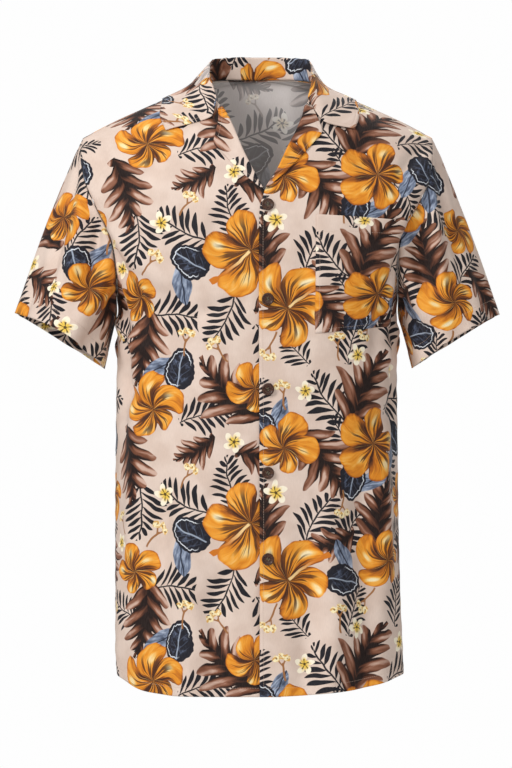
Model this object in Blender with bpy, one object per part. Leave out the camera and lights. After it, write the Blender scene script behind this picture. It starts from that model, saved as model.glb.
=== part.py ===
"""Short-sleeved camp-collar shirt, filled out as if worn, with nobody in it.

Metres, +Z up. The origin is the middle of the neck at the height of the shoulder points,
the front faces -Y and the wearer's left is +X. Tables give their sizes in millimetres.
Each piece of cloth is one closed wall: a grid laid on the shirt's form, then given its
thickness towards the hollow.
"""

import math
from collections import namedtuple

import bmesh
import bpy
import numpy as np
from mathutils import Matrix, Vector

MM = 0.001

# Driving dimensions
CLOTH = 1.5 * MM
SEAM_GAP = 0.3 * MM
LAP_X = 1.5 * MM               # the over front's edge, just past the middle
LAP_DROP = 2.6 * MM            # the under front lies this far inside the over front
LAP_BLEND = 0.45               # share of a row over which the two fronts level out
LAPEL_LIFT = 2.3 * MM          # a lapel's face above the front it lies on
POCKET_LIFT = 2.5 * MM         # the same for the pocket
STAND_LIFT = 1.2 * MM          # the collar's sewn edge above the neck edge
UNDERARM = 0.62                # how far up the body the armhole starts
NECK_TOP = 0.93                # how far up the back the neck seam starts
ARMHOLE_CENTRE_Z = -168 * MM
CUFF_HALF_DEPTH = 72 * MM
BUTTON_RADIUS = 7.6 * MM
BUTTON_THICK = 2.8 * MM
BUTTON_LIFT = 0.7 * MM
BUTTON_INSET = 10.5 * MM       # from the lap's edge to a button's centre
BUTTON_HEIGHTS = [-144 * MM, -260 * MM, -371 * MM, -474 * MM, -580 * MM]
HOLE_RADIUS = 0.9 * MM
HOLE_CIRCLE = 1.75 * MM        # from the button's centre to each hole's
BUTTON_STEPS = 16
SAMPLES = 65                   # points on a row before it is cut to equal lengths
SHOULDER_RUN = 0.82            # metres of shirt from the hem to the shoulder (up = 1)
ROW_RUN = 0.25                 # a usual row's length from the middle to the side
MERGE = 0.02 * MM
SEARCH_STEP = 0.002            # share of a row or of the height, to read a slope over
LONGEST_MOVE = 0.05            # the most a search moves at once
SEARCH_MOVES = 30

# The body's side edge, from the hem (up = 0) to the shoulder's tip (up = 1). Above the
# underarm it is the armhole, and front and back part.
Edge = namedtuple("Edge", "up height left right front_y back_left back_right back_y")
EDGES = [
    Edge(0.00, -720.0, 174.5, 180.0, 0.0, 174.5, 180.0, 0.0),
    Edge(0.06, -694.0, 177.0, 179.5, 0.0, 177.0, 179.5, 0.0),
    Edge(0.16, -632.0, 177.0, 176.5, 0.0, 177.0, 176.5, 0.0),
    Edge(0.32, -512.0, 177.0, 173.6, 0.0, 177.0, 173.6, 0.0),
    Edge(0.50, -381.0, 175.5, 172.4, 0.0, 175.5, 172.4, 0.0),
    Edge(0.62, -278.0, 173.5, 172.0, 0.0, 173.5, 172.0, 0.0),
    Edge(0.70, -234.0, 174.5, 172.0, 50.0, 180.0, 178.0, 48.0),
    Edge(0.76, -192.0, 180.5, 173.5, 68.0, 190.0, 187.0, 66.0),
    Edge(0.84, -143.0, 202.0, 198.0, 63.0, 204.0, 201.0, 64.0),
    Edge(0.90, -112.0, 215.5, 212.5, 46.0, 213.0, 211.0, 50.0),
    Edge(0.95, -84.0, 221.7, 218.0, 26.0, 219.0, 216.0, 29.0),
    Edge(1.00, -59.5, 220.7, 218.5, 0.0, 220.7, 218.5, 0.0),
]

# The fronts' inner edges: the lap, then the roll line of each lapel, then the neck.
FrontEdge = namedtuple("FrontEdge", "up height under over depth power sweep")
FRONT_EDGES = [
    FrontEdge(0.00, -753.0, 28.0, 2.0, 121.0, 2.5, 7.0),
    FrontEdge(0.16, -632.0, 28.0, 2.0, 118.0, 2.5, 2.0),
    FrontEdge(0.50, -381.0, 28.0, 1.5, 118.0, 2.5, 1.0),
    FrontEdge(0.70, -236.0, 28.0, 1.0, 122.0, 2.4, 1.0),
    FrontEdge(0.80, -156.0, 27.0, 1.5, 118.0, 2.2, 1.0),
    FrontEdge(0.84, -127.0, 8.0, 8.0, 112.0, 2.0, 1.0),
    FrontEdge(0.87, -101.0, -7.6, 25.0, 104.0, 1.85, 1.0),
    FrontEdge(0.90, -75.5, -20.3, 37.0, 94.0, 1.7, 1.0),
    FrontEdge(0.95, -37.5, -36.5, 55.0, 72.0, 1.4, 1.0),
    FrontEdge(0.97, -13.0, -52.0, 62.0, 50.0, 1.25, 1.0),
    FrontEdge(0.985, -2.0, -67.0, 71.0, 26.0, 1.12, 1.0),
    FrontEdge(1.00, 5.0, -78.0, 79.0, 0.0, 1.0, 1.0),
]

# The back's inner edges: its middle line, then the neck seam to each shoulder point.
BackEdge = namedtuple("BackEdge", "up height half_neck depth power sweep")
BACK_EDGES = [
    BackEdge(0.00, -753.0, 0.0, 122.0, 2.5, 7.0),
    BackEdge(0.16, -632.0, 0.0, 119.0, 2.5, 2.0),
    BackEdge(0.50, -381.0, 0.0, 118.0, 2.5, 2.0),
    BackEdge(0.70, -218.0, 0.0, 123.0, 2.4, 2.0),
    BackEdge(0.84, -88.0, 0.0, 102.0, 2.0, 2.0),
    BackEdge(0.90, -24.0, 0.0, 77.0, 1.8, 1.9),
    BackEdge(0.93, 12.0, 0.0, 62.0, 1.65, 1.7),
    BackEdge(0.95, 12.5, 35.0, 54.0, 1.45, 1.4),
    BackEdge(0.975, 10.0, 62.0, 33.0, 1.2, 1.15),
    BackEdge(1.00, 5.0, 78.5, 0.0, 1.0, 1.0),
]

# Where the back rows lie, so that one falls on every corner of the outline
BACK_ROWS = [0, 0.03, 0.08, 0.16, 0.26, 0.36, 0.46, 0.54, 0.62, 0.66, 0.70, 0.745, 0.79,
             0.84, 0.885, 0.93, 0.95, 0.975, 1]
FRONT_ROWS = [0, 0.03, 0.08, 0.16, 0.26, 0.36, 0.46, 0.54, 0.62, 0.66, 0.70, 0.745, 0.79,
              0.84, 0.87, 0.90, 0.93, 0.95, 0.97, 0.985, 1]
BODY_COLUMNS = 12

# Cross-sections of the collar from the left gorge round the back of the neck to the right
# one. Each runs from the neck seam up to the fold, over it and out to the leaf's edge. The
# seam is a height on the body's neck edge and the fold a place. The waist and edge lie over
# the body: x, z and lift.
Section = namedtuple("Section", "face seam fold waist edge")
COLLAR = [
    Section("front", 0.969, (-51.5, -53, -9), (-56, -33, 5.0), (-114, -52, 4.2)),
    Section("front", 0.985, (-57, -28, 12), (-80, -14, 8.0), (-125, -38, 4.2)),
    Section("seam", 1.0, (-60, 4, 31), (-79.5, 5, 8.0), (-127, -17, 4.2)),
    Section("back", 0.975, (-54, 36, 40), (-71, 5, 12.0), (-96, -17, 5.0)),
    Section("back", 0.95, (-32, 55, 41.5), (-36, 8, 12.0), (-44, -12, 6.0)),
    Section("back", 0.93, (0, 61, 41.5), (0, 8, 12.0), (0, -12, 6.0)),
    Section("back", 0.95, (36, 55, 41.5), (40, 8, 12.0), (48, -12, 6.0)),
    Section("back", 0.975, (60, 36, 40), (74, 5, 12.0), (100, -17, 5.0)),
    Section("seam", 1.0, (66, 4, 31), (80.5, 5, 8.0), (129, -17, 4.2)),
    Section("front", 0.985, (66, -28, 12), (86, -14, 8.0), (128, -37, 4.2)),
    Section("front", 0.969, (61.5, -53, -9), (82, -43, 5.0), (119, -51, 4.2)),
]

# Each lapel's outer edge, as its reach from the roll line at heights up the front
LapelRow = namedtuple("LapelRow", "up left right")
LAPEL_ROWS = [
    LapelRow(0.846, 2.0, 2.5),
    LapelRow(0.87, 14.0, 10.5),
    LapelRow(0.90, 24.0, 21.0),
    LapelRow(0.918, 29.0, 25.0),
    LapelRow(0.938, 21.0, 29.0),
    LapelRow(0.950, 13.5, 22.0),
    LapelRow(0.962, 5.0, 9.0),
]
LAPEL_COLUMNS, LAPEL_STEPS = 3, 8
ROLL_GAP = 0.004               # share of a row between the roll line and the lapel

# Where each cuff's top and bottom corners hang, and how far its front edge rides up
Cuff = namedtuple("Cuff", "top_x top_z under_x under_z rise")
CUFFS = {
    "left": Cuff(298.0, -278.0, 190.0, -346.0, 11.0),
    "right": Cuff(295.0, -280.0, 191.0, -345.0, 4.0),
}
SLEEVE_ROWS = [0.0, 0.12, 0.26, 0.42, 0.58, 0.74, 0.88, 1.0]
SLEEVE_BULGE = 4 * MM

# The patch pocket, in lengths along the cloth from the lap's edge
POCKET_LEFT, POCKET_RIGHT = 70 * MM, 190 * MM
POCKET_TOP, POCKET_BOTTOM = 0.806, 0.612
POCKET_COLUMNS = 12

# Colour, roughness and metallic value of each material
FINISHES = {
    "printed_cloth": ((0.74, 0.58, 0.47), 0.62, 0.0),
    "brown_button": ((0.05, 0.025, 0.015), 0.35, 0.0),
}


def start_empty():
    """Removes whatever the file opened with."""
    for thing in list(bpy.data.objects):
        bpy.data.objects.remove(thing, do_unlink=True)


def finish(name):
    """The named material, made the first time it is asked for."""
    found = bpy.data.materials.get(name)
    if found:
        return found
    colour, roughness, metallic = FINISHES[name]
    found = bpy.data.materials.new(name)
    found.use_nodes = True
    shader = found.node_tree.nodes["Principled BSDF"]
    shader.inputs["Base Color"].default_value = (*colour, 1)
    shader.inputs["Roughness"].default_value = roughness
    shader.inputs["Metallic"].default_value = metallic
    found.diffuse_color = (*colour, 1)
    return found


def keep(mesh_data, name, material):
    """Turns a bmesh into the named object of the scene."""
    mesh = bpy.data.meshes.new(name)
    mesh_data.to_mesh(mesh)
    mesh_data.free()
    mesh.shade_smooth()
    mesh.set_sharp_from_angle(angle=math.radians(40))
    thing = bpy.data.objects.new(name, mesh)
    bpy.context.collection.objects.link(thing)
    mesh.materials.append(finish(material))
    return thing


# Curves through a table


def smooth(stations, values, at):
    """A cubic through the stations that never swings past their values."""
    stations = np.asarray(stations, float)
    values = np.asarray(values, float)
    at = np.clip(np.asarray(at, float), stations[0], stations[-1])
    steps = np.diff(stations)
    slopes = np.diff(values) / steps
    same_way = slopes[:-1] * slopes[1:] > 0
    total = np.where(same_way, slopes[:-1] + slopes[1:], 1.0)
    tangents = np.empty_like(values)
    tangents[1:-1] = np.where(same_way, 2 * slopes[:-1] * slopes[1:] / total, 0.0)
    tangents[0], tangents[-1] = slopes[0], slopes[-1]
    span = np.clip(np.searchsorted(stations, at) - 1, 0, len(steps) - 1)
    part = (at - stations[span]) / steps[span]
    rise = part * part * (3 - 2 * part)
    leave = part * (1 - part) ** 2 * steps[span] * tangents[span]
    arrive = part * part * (part - 1) * steps[span] * tangents[span + 1]
    return values[span] * (1 - rise) + values[span + 1] * rise + leave + arrive


def column(table, name, up):
    """One named column of a table of millimetres, read at a height and given in metres."""
    return smooth([row.up for row in table], [getattr(row, name) for row in table], up) * MM


def plain(table, name, up):
    """One named column of a table that holds pure numbers."""
    return smooth([row.up for row in table], [getattr(row, name) for row in table], up)


def unit(vectors):
    """The vectors at length one."""
    vectors = np.asarray(vectors, float)
    return vectors / np.maximum(np.linalg.norm(vectors, axis=-1, keepdims=True), 1e-12)


# The body's form

Half = namedtuple("Half", "face side")
FRONT_LEFT = Half("front", "right")     # the wearer's left front is on the +X side
FRONT_RIGHT = Half("front", "left")
BACK_HALVES = [Half("back", "left"), Half("back", "right")]


def side_point(half, up):
    """A point of the side seam, or of the armhole above the underarm."""
    sign = 1 if half.side == "right" else -1
    if half.face == "front":
        x = column(EDGES, half.side, up)
        y = -column(EDGES, "front_y", up)
    else:
        x = column(EDGES, "back_" + half.side, up)
        y = column(EDGES, "back_y", up)
    return np.array([sign * x, y, column(EDGES, "height", up)])


def middle_point(half, up):
    """A point of the lap's edge, roll line or neck in front, or of the back's middle."""
    if half.face == "front":
        reach = "over" if half.side == "right" else "under"
        return np.array([
            column(FRONT_EDGES, reach, up),
            -column(FRONT_EDGES, "depth", up),
            column(FRONT_EDGES, "height", up),
        ])
    sign = 1 if half.side == "right" else -1
    return np.array([
        sign * column(BACK_EDGES, "half_neck", up),
        column(BACK_EDGES, "depth", up),
        column(BACK_EDGES, "height", up),
    ])


def row_curve(half, up):
    """The body's row at a height, from the middle to the side, with its running length."""
    table = FRONT_EDGES if half.face == "front" else BACK_EDGES
    power = 2 / plain(table, "power", up)
    turn = np.linspace(0, math.pi / 2, SAMPLES)
    across = np.sin(turn) ** power
    around = 1 - np.cos(turn).clip(0) ** power
    sweep = across ** plain(table, "sweep", up)
    start, end = middle_point(half, up), side_point(half, up)
    share = np.stack([across, around, sweep], axis=1)
    points = start + (end - start) * share
    lengths = np.linalg.norm(np.diff(points, axis=0), axis=1)
    return points, np.concatenate([[0], np.cumsum(lengths)])


def row_points(half, shares, up):
    """Points of one row at equal-length shares of it."""
    points, run = row_curve(half, up)
    at = np.asarray(shares) * run[-1]
    return np.stack([np.interp(at, run, points[:, k]) for k in range(3)], axis=1)


def body_grid(half, shares, ups):
    """A grid of points on the body: a row for each height, from the middle outwards."""
    return np.stack([row_points(half, shares, up) for up in ups])


def inward(grid):
    """Unit directions across a grid's cloth, towards the hollow of the shirt."""
    across = np.gradient(grid, axis=1)
    along = np.gradient(grid, axis=0)
    normals = unit(np.cross(across, along))
    middle = grid.reshape(-1, 3).mean(0)
    heart = np.array([0, 0, middle[2] - 0.1])
    facing = np.sum(normals * (heart - middle), axis=-1).mean()
    return normals if facing > 0 else -normals


def armhole_inward(points):
    """The direction shared by both walls at an armhole seam: to the armhole's middle."""
    towards = np.zeros_like(points)
    towards[..., 1] = -points[..., 1]
    towards[..., 2] = ARMHOLE_CENTRE_Z - points[..., 2]
    return unit(towards)


def seam_directions(half, grid, ups):
    """The body's inward directions, with those that both pieces of a seam share."""
    directions = inward(grid)
    outward = 1 if half.side == "right" else -1
    for row, up in enumerate(ups):
        if up < UNDERARM - 0.001:
            directions[row, -1] = (-outward, 0, 0)
        else:
            directions[row, -1] = armhole_inward(grid[row, -1])
    directions[-1, :] = (0, 0, -1)
    return directions


# Making the walls


def wall(name, sheets, closed=False):
    """One closed wall of cloth: grids set on its outer face, joined and given a thickness.

    Each sheet is a grid of places and the directions in which its thickness goes.
    """
    mesh_data = bmesh.new()
    layer = mesh_data.verts.layers.float_vector.new("inner_face")
    for outer, directions in sheets:
        lay_grid(mesh_data, outer, directions, layer)
    if closed or len(sheets) > 1:
        bmesh.ops.remove_doubles(mesh_data, verts=mesh_data.verts, dist=MERGE)
    thick = bmesh.ops.extrude_face_region(
        mesh_data, geom=list(mesh_data.faces), use_keep_orig=True)
    for made in thick["geom"]:
        if isinstance(made, bmesh.types.BMVert):
            made.co = made[layer]
    bmesh.ops.recalc_face_normals(mesh_data, faces=mesh_data.faces)
    return keep(mesh_data, name, "printed_cloth")


def lay_grid(mesh_data, outer, directions, layer):
    """Adds a flat grid, and moves each vertex to its place on the outer face."""
    rows, columns = outer.shape[:2]
    made = bmesh.ops.create_grid(
        mesh_data, x_segments=columns - 1, y_segments=rows - 1, size=0.5)
    for vertex in made["verts"]:
        row = round((vertex.co.y + 0.5) * (rows - 1))
        place = round((vertex.co.x + 0.5) * (columns - 1))
        vertex.co = outer[row, place]
        vertex[layer] = outer[row, place] + directions[row, place] * CLOTH


def row_length(half, up):
    """The length of a row of the body."""
    return row_curve(half, up)[1][-1]


# The fronts and the back


def panel_heights(rows):
    """Row heights whose last one stops half a seam gap short of the shoulder seam."""
    return [*rows[:-1], rows[-1] - 0.5 * SEAM_GAP / SHOULDER_RUN]


def panel_shares():
    """Shares of a row, whose last one stops half a seam gap short of its seam."""
    return np.linspace(0, 1 - 0.5 * SEAM_GAP / ROW_RUN, BODY_COLUMNS + 1)


def lap_drop(shares, half):
    """How far a front lies inside the form: the under front drops below the other."""
    if half != FRONT_RIGHT:
        return np.zeros_like(shares)
    away = np.clip(shares / LAP_BLEND, 0, 1)
    return LAP_DROP * (1 - away * away * (3 - 2 * away))


def front(name, half):
    """A front, from the lap and the neck to the side seam, armhole and shoulder."""
    ups = panel_heights(FRONT_ROWS)
    shares = panel_shares()
    grid = body_grid(half, shares, ups)
    directions = seam_directions(half, grid, ups)
    grid = grid + inward(grid) * lap_drop(shares, half)[None, :, None]
    return wall(name, [(grid, directions)])


def back():
    """The back, in two mirrored halves that are one piece of cloth."""
    ups = panel_heights(BACK_ROWS)
    shares = panel_shares()
    halves = []
    for half in BACK_HALVES:
        grid = body_grid(half, shares, ups)
        directions = seam_directions(half, grid, ups)
        middle = [row for row, up in enumerate(ups) if up <= NECK_TOP]
        directions[middle, 0] = unit(directions[middle, 0] * (0, 1, 1))
        halves.append((grid, directions))
    return wall("back", halves)


# The sleeves


def armhole_ring(side):
    """The armhole seam: tip of the shoulder, down the front, underarm, up the back."""
    upper = [up for up in FRONT_ROWS if up >= UNDERARM]
    down = [side_point(Half("front", side), up) for up in reversed(upper)]
    rise = [up for up in BACK_ROWS if up > UNDERARM]
    back_edge = [side_point(Half("back", side), up) for up in rise]
    return np.array(down), np.array(back_edge)


def running_share(points):
    """The share of its length at which each point of a polyline lies."""
    lengths = np.linalg.norm(np.diff(points, axis=0), axis=1)
    run = np.concatenate([[0], np.cumsum(lengths)])
    return run / run[-1]


def sleeve_grid(side):
    """A sleeve from the armhole to the cuff: a ring for each row."""
    outward = 1 if side == "right" else -1
    down, rise = armhole_ring(side)
    front_turn = running_share(down) * math.pi
    back_turn = math.pi + running_share(np.vstack([down[-1:], rise]))[1:] * math.pi
    turn = np.concatenate([front_turn, back_turn])
    ring = np.vstack([down, rise])
    cuff = CUFFS[side]
    top = np.array([outward * cuff.top_x, 0, cuff.top_z]) * MM
    under = np.array([outward * cuff.under_x, 0, cuff.under_z]) * MM
    across = unit(top - under)
    along = np.array([-across[2], 0, across[0]]) * outward
    mouth = (
        (top + under) / 2
        + np.cos(turn)[:, None] * across * np.linalg.norm(top - under) / 2
        + np.sin(turn)[:, None] * np.array([0, -CUFF_HALF_DEPTH, 0])
        + (np.sin(turn).clip(0) ** 2)[:, None] * along * cuff.rise * MM
    )
    bulge = np.array([outward, 0, 0.3]) * SLEEVE_BULGE
    rows = []
    for share in SLEEVE_ROWS:
        swell = math.sin(math.pi * share) * (0.5 + 0.5 * np.cos(turn))[:, None]
        rows.append(ring * (1 - share) + mouth * share + bulge * swell)
    return np.array(rows)


def sleeve(name, side):
    """A short sleeve, a tube set half a seam gap off the armhole."""
    grid = sleeve_grid(side)
    lead = unit(grid[1] - grid[0])
    ring_inward = armhole_inward(grid[0])
    grid[0] = grid[0] + lead * SEAM_GAP
    along = np.gradient(grid, axis=0)
    wrapped = np.concatenate([grid[:, -2:-1], grid, grid[:, 1:2]], axis=1)
    around = wrapped[:, 2:] - wrapped[:, :-2]
    directions = unit(np.cross(around, along))
    middle = grid.mean(axis=1, keepdims=True)
    if np.sum(directions * (middle - grid)) < 0:
        directions = -directions
    directions[0] = ring_inward
    return wall(name, [(grid, directions)], closed=True)


# What lies on the fronts


def find_on_body(half, x, z):
    """The share and height on one half of the body of the point seen at x and z."""
    start, end = middle_point(half, 0.9), side_point(half, 0.9)
    share = float(np.clip((x - start[0]) / (end[0] - start[0]), 0.02, 0.9))
    up = float(np.clip((z + 0.753) / 0.76, 0.05, 0.97))
    for _ in range(SEARCH_MOVES):
        here = row_points(half, [share, share + SEARCH_STEP], up)
        below = row_points(half, [share], up - SEARCH_STEP)[0]
        by_share = (here[1] - here[0]) / SEARCH_STEP
        by_up = (here[0] - below) / SEARCH_STEP
        slopes = np.array([[by_share[0], by_up[0]], [by_share[2], by_up[2]]])
        move = np.linalg.solve(slopes, np.array([x - here[0][0], z - here[0][2]]))
        move = np.clip(move, -LONGEST_MOVE, LONGEST_MOVE)
        share = float(np.clip(share + move[0], 0.0, 0.99))
        up = float(np.clip(up + move[1], 0.02, 1.0))
    return share, up


def off_body(half, share, up, lift):
    """A point of the body's face moved out by lift, and its outward direction."""
    step = SEARCH_STEP
    low = min(max(up - step, 0.0), 1 - 2 * step)
    here = row_points(half, [max(share - step, 0), share, share + step], up)
    below = row_points(half, [share], low)[0]
    above = row_points(half, [share], low + 2 * step)[0]
    outward = unit(np.cross(here[2] - here[0], above - below))
    forward = -1 if half.face == "front" else 1
    if outward[1] * forward < 0:
        outward = -outward
    drop = lap_drop(np.array([share]), half)[0]
    return here[1] + outward * (lift - drop), outward


def lifted_patch(half, shares_by_row, ups, lift):
    """A grid on a front, moved out by lift, with its directions back to the front."""
    placed = [
        [off_body(half, share, up, lift) for share in shares]
        for shares, up in zip(shares_by_row, ups)
    ]
    points = np.array([[spot[0] for spot in row] for row in placed])
    outwards = np.array([[spot[1] for spot in row] for row in placed])
    return points, -outwards


def lapel(name, half):
    """A front facing turned out over its front, from the break up to the gorge."""
    side = "right" if half == FRONT_LEFT else "left"
    ups = np.linspace(LAPEL_ROWS[0].up, LAPEL_ROWS[-1].up, LAPEL_STEPS + 1)
    shares = []
    for up in ups:
        reach = column(LAPEL_ROWS, side, up) / row_length(half, up)
        shares.append(np.linspace(0, reach, LAPEL_COLUMNS + 1) + ROLL_GAP)
    return wall(name, [lifted_patch(half, shares, ups, LAPEL_LIFT)])


def pocket():
    """The patch pocket on the wearer's left front."""
    between = [up for up in FRONT_ROWS if POCKET_BOTTOM < up < POCKET_TOP]
    ups = [POCKET_BOTTOM, *between, POCKET_TOP]
    shares = [
        np.linspace(POCKET_LEFT, POCKET_RIGHT, POCKET_COLUMNS + 1) / row_length(FRONT_LEFT, up)
        for up in ups
    ]
    return wall("chest_pocket", [lifted_patch(FRONT_LEFT, shares, ups, POCKET_LIFT)])


# The collar

COLLAR_STEPS = 3               # columns of the collar from one section to the next
CROSS_STEPS = [0, 0.5, 1.0, 1.35, 2.0, 2.5, 3.0]   # rows, counted in the parts of a section


def on_body(face, signed_share, up, lift):
    """A lifted point of the body, by a share that is negative on the -X side."""
    half = Half(face, "right" if signed_share > 0 else "left")
    return off_body(half, abs(signed_share), up, lift)[0]


def seat(section, part):
    """Where one part of a collar section lies on the body: signed share, height and lift."""
    x, z, lift = (value * MM for value in getattr(section, part))
    side = "right" if x > 0 else "left"
    if section.face == "seam":
        tip = column(EDGES, side, 1.0)
        start = column(FRONT_EDGES, "over", 1.0) if x > 0 else -column(FRONT_EDGES, "under", 1.0)
        share, up = (abs(x) - start) / (tip - start), 1.0
    else:
        share, up = find_on_body(Half(section.face, side), x, z)
    return math.copysign(share, x), up, lift


def neck_edge(section, right):
    """A point just above the body's neck edge, where the collar is sewn on."""
    face = "back" if section.face == "back" else "front"
    half = Half(face, "right" if right else "left")
    return middle_point(half, section.seam) + np.array([0, 0, STAND_LIFT])


def stretch(sections):
    """Rails of one stretch of the collar, between sections that lie on the same face."""
    face = next(section.face for section in sections if section.face != "seam")
    wanted = steps_along(len(sections))
    rails = {}
    for part in ("waist", "edge"):
        seats = np.array([seat(section, part) for section in sections])
        read = [smooth(range(len(sections)), seats[:, k], wanted) for k in range(3)]
        rails[part] = np.array([on_body(face, *spot) for spot in zip(*read)])
    return rails


def steps_along(sections):
    """The places of the collar's columns, counted in sections."""
    return np.linspace(0, sections - 1, (sections - 1) * COLLAR_STEPS + 1)


def through(places):
    """A smooth rail through one place for each section of the collar."""
    count = len(places)
    wanted = steps_along(count)
    return np.stack([smooth(range(count), places[:, k], wanted) for k in range(3)], axis=1)


def collar_rows():
    """The collar's cross-section lines, each from its neck seam over the fold to the edge."""
    count = len(COLLAR)
    middle = count // 2
    sewn = np.array([neck_edge(section, n > middle) for n, section in enumerate(COLLAR)])
    rails = {
        "seam": through(sewn),
        "fold": through(np.array([section.fold for section in COLLAR]) * MM),
    }
    seams = [n for n, section in enumerate(COLLAR) if section.face == "seam"]
    pieces = [
        stretch(COLLAR[first:last + 1])
        for first, last in zip([0, *seams], [*seams, count - 1])
    ]
    for part in ("waist", "edge"):
        rails[part] = np.vstack(
            [pieces[0][part]] + [piece[part][1:] for piece in pieces[1:]])
    stack = np.stack([rails[part] for part in ("seam", "fold", "waist", "edge")])
    return np.stack([
        np.stack([smooth(range(4), stack[:, n, k], CROSS_STEPS) for k in range(3)], axis=1)
        for n in range(stack.shape[1])
    ], axis=1)


def collar():
    """The one-piece collar, standing at the back of the neck and folded over."""
    grid = collar_rows()
    directions = unit(np.cross(np.gradient(grid, axis=1), np.gradient(grid, axis=0)))
    if directions[-2, grid.shape[1] // 2, 1] > 0:
        directions = -directions
    return wall("collar", [(grid, directions)])


# The buttons


def button(number, height):
    """A round button with a raised rim and four holes, on the over front."""
    share, up = find_on_body(FRONT_LEFT, LAP_X + BUTTON_INSET, height)
    seat, outward = off_body(FRONT_LEFT, share, up, BUTTON_LIFT)
    radius, thick = BUTTON_RADIUS, BUTTON_THICK
    profile = [
        (0.0, 0.0),
        (0.78 * radius, 0.0),
        (radius, 0.30 * thick),
        (radius, 0.75 * thick),
        (0.86 * radius, thick),
        (0.66 * radius, 0.70 * thick),
        (0.0, 0.62 * thick),
    ]
    mesh_data = bmesh.new()
    spots = [mesh_data.verts.new((x, 0, z)) for x, z in profile]
    for one, two in zip(spots, spots[1:]):
        mesh_data.edges.new((one, two))
    bmesh.ops.spin(
        mesh_data, geom=list(mesh_data.verts) + list(mesh_data.edges), cent=(0, 0, 0),
        axis=(0, 0, 1), angle=math.tau, steps=BUTTON_STEPS, use_merge=True,
        use_duplicate=False)
    bmesh.ops.remove_doubles(mesh_data, verts=mesh_data.verts, dist=MERGE)
    bmesh.ops.recalc_face_normals(mesh_data, faces=mesh_data.faces)
    thing = keep(mesh_data, f"button_{number}", "brown_button")
    thing.rotation_euler = Vector(outward).to_track_quat("Z", "Y").to_euler()
    thing.location = seat
    cut = thing.modifiers.new("sewing_holes", "BOOLEAN")
    cut.operation = "DIFFERENCE"
    cut.solver = "EXACT"
    cut.object = hole_cutter(thing)
    return thing


def hole_cutter(parent):
    """Four rods that cut a button's sewing holes."""
    mesh_data = bmesh.new()
    for quarter in range(4):
        angle = math.radians(45 + 90 * quarter)
        spot = Matrix.Translation((
            HOLE_CIRCLE * math.cos(angle),
            HOLE_CIRCLE * math.sin(angle),
            BUTTON_THICK / 2,
        ))
        bmesh.ops.create_cone(
            mesh_data, cap_ends=True, segments=6, radius1=HOLE_RADIUS, radius2=HOLE_RADIUS,
            depth=3 * BUTTON_THICK, matrix=spot)
    cutter = keep(mesh_data, parent.name + "_cutter", "brown_button")
    cutter.parent = parent
    cutter.hide_render = True
    cutter.display_type = "WIRE"
    return cutter


def main():
    """Builds the shirt, a piece at a time."""
    start_empty()
    front("front_left", FRONT_LEFT)
    front("front_right", FRONT_RIGHT)
    back()
    sleeve("sleeve_left", "right")
    sleeve("sleeve_right", "left")
    collar()
    lapel("lapel_left", FRONT_LEFT)
    lapel("lapel_right", FRONT_RIGHT)
    pocket()
    for number, height in enumerate(BUTTON_HEIGHTS, start=1):
        button(number, height)


main()
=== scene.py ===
"""Looks of a short-sleeved camp-collar shirt in printed cloth, filled out as if worn.

Metres, +Z up, the front faces -Y and the wearer's left is +X. Sizes in the tables are in
millimetres. The cloth is laid on the same form as the solids, creased along listed paths, and
dressed with a figured print that is drawn by shader nodes.
"""

import logging
import math
from dataclasses import dataclass, field, replace
from enum import Enum
from typing import Iterable, NamedTuple, Optional, Sequence, Union

import bmesh
import bpy
import numpy as np
from mathutils import Matrix, Vector


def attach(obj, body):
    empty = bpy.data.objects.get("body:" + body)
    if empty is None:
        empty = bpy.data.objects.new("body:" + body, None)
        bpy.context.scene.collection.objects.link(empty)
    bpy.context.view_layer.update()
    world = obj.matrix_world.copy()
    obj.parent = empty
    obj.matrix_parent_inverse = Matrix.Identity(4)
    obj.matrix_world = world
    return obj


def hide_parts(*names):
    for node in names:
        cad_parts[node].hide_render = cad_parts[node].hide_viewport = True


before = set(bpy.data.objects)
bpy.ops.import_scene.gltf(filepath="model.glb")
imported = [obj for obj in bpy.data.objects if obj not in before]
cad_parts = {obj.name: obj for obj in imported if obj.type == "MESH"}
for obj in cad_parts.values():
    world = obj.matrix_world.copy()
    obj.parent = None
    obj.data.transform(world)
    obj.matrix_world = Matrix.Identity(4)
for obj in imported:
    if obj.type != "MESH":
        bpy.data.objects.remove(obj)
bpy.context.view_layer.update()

LOG = logging.getLogger("shirt")
MM = 0.001
Material, Mesh, Piece = bpy.types.Material, bpy.types.Mesh, bpy.types.Object
Socket, Tree = bpy.types.NodeSocket, bpy.types.NodeTree


def meshed(name: str, shape: bmesh.types.BMesh) -> Mesh:
    """Makes a mesh of a finished shape, and frees the shape."""
    mesh = bpy.data.meshes.new(name)
    shape.to_mesh(mesh)
    shape.free()
    return mesh


def shown(name: str, mesh: Mesh, *dress: Material) -> Piece:
    """Puts a mesh in the scene under a name, in its materials."""
    for material in dress:
        mesh.materials.append(material)
    piece = bpy.data.objects.new(name, mesh)
    bpy.context.collection.objects.link(piece)
    return piece


# ------------------------------------------------------------------ the shirt's form


class Face(Enum):
    """Which face of the body a piece of cloth belongs to."""

    FRONT = "front"
    BACK = "back"
    SEAM = "seam"


class Side(Enum):
    """The side of the shirt, seen from the front: -X is left and +X is right."""

    LEFT = "left"
    RIGHT = "right"

    @property
    def sign(self) -> int:
        """The side's direction along X."""
        return 1 if self is Side.RIGHT else -1


class Edge(NamedTuple):
    """The body's side edge at one height; above the underarm it is the armhole."""

    up: float
    height: float
    left: float
    right: float
    front_y: float
    back_left: float
    back_right: float
    back_y: float


class FrontEdge(NamedTuple):
    """The fronts' inner edges at one height: the lap, the roll lines, then the neck."""

    up: float
    height: float
    under: float
    over: float
    depth: float
    power: float
    sweep: float


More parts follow.
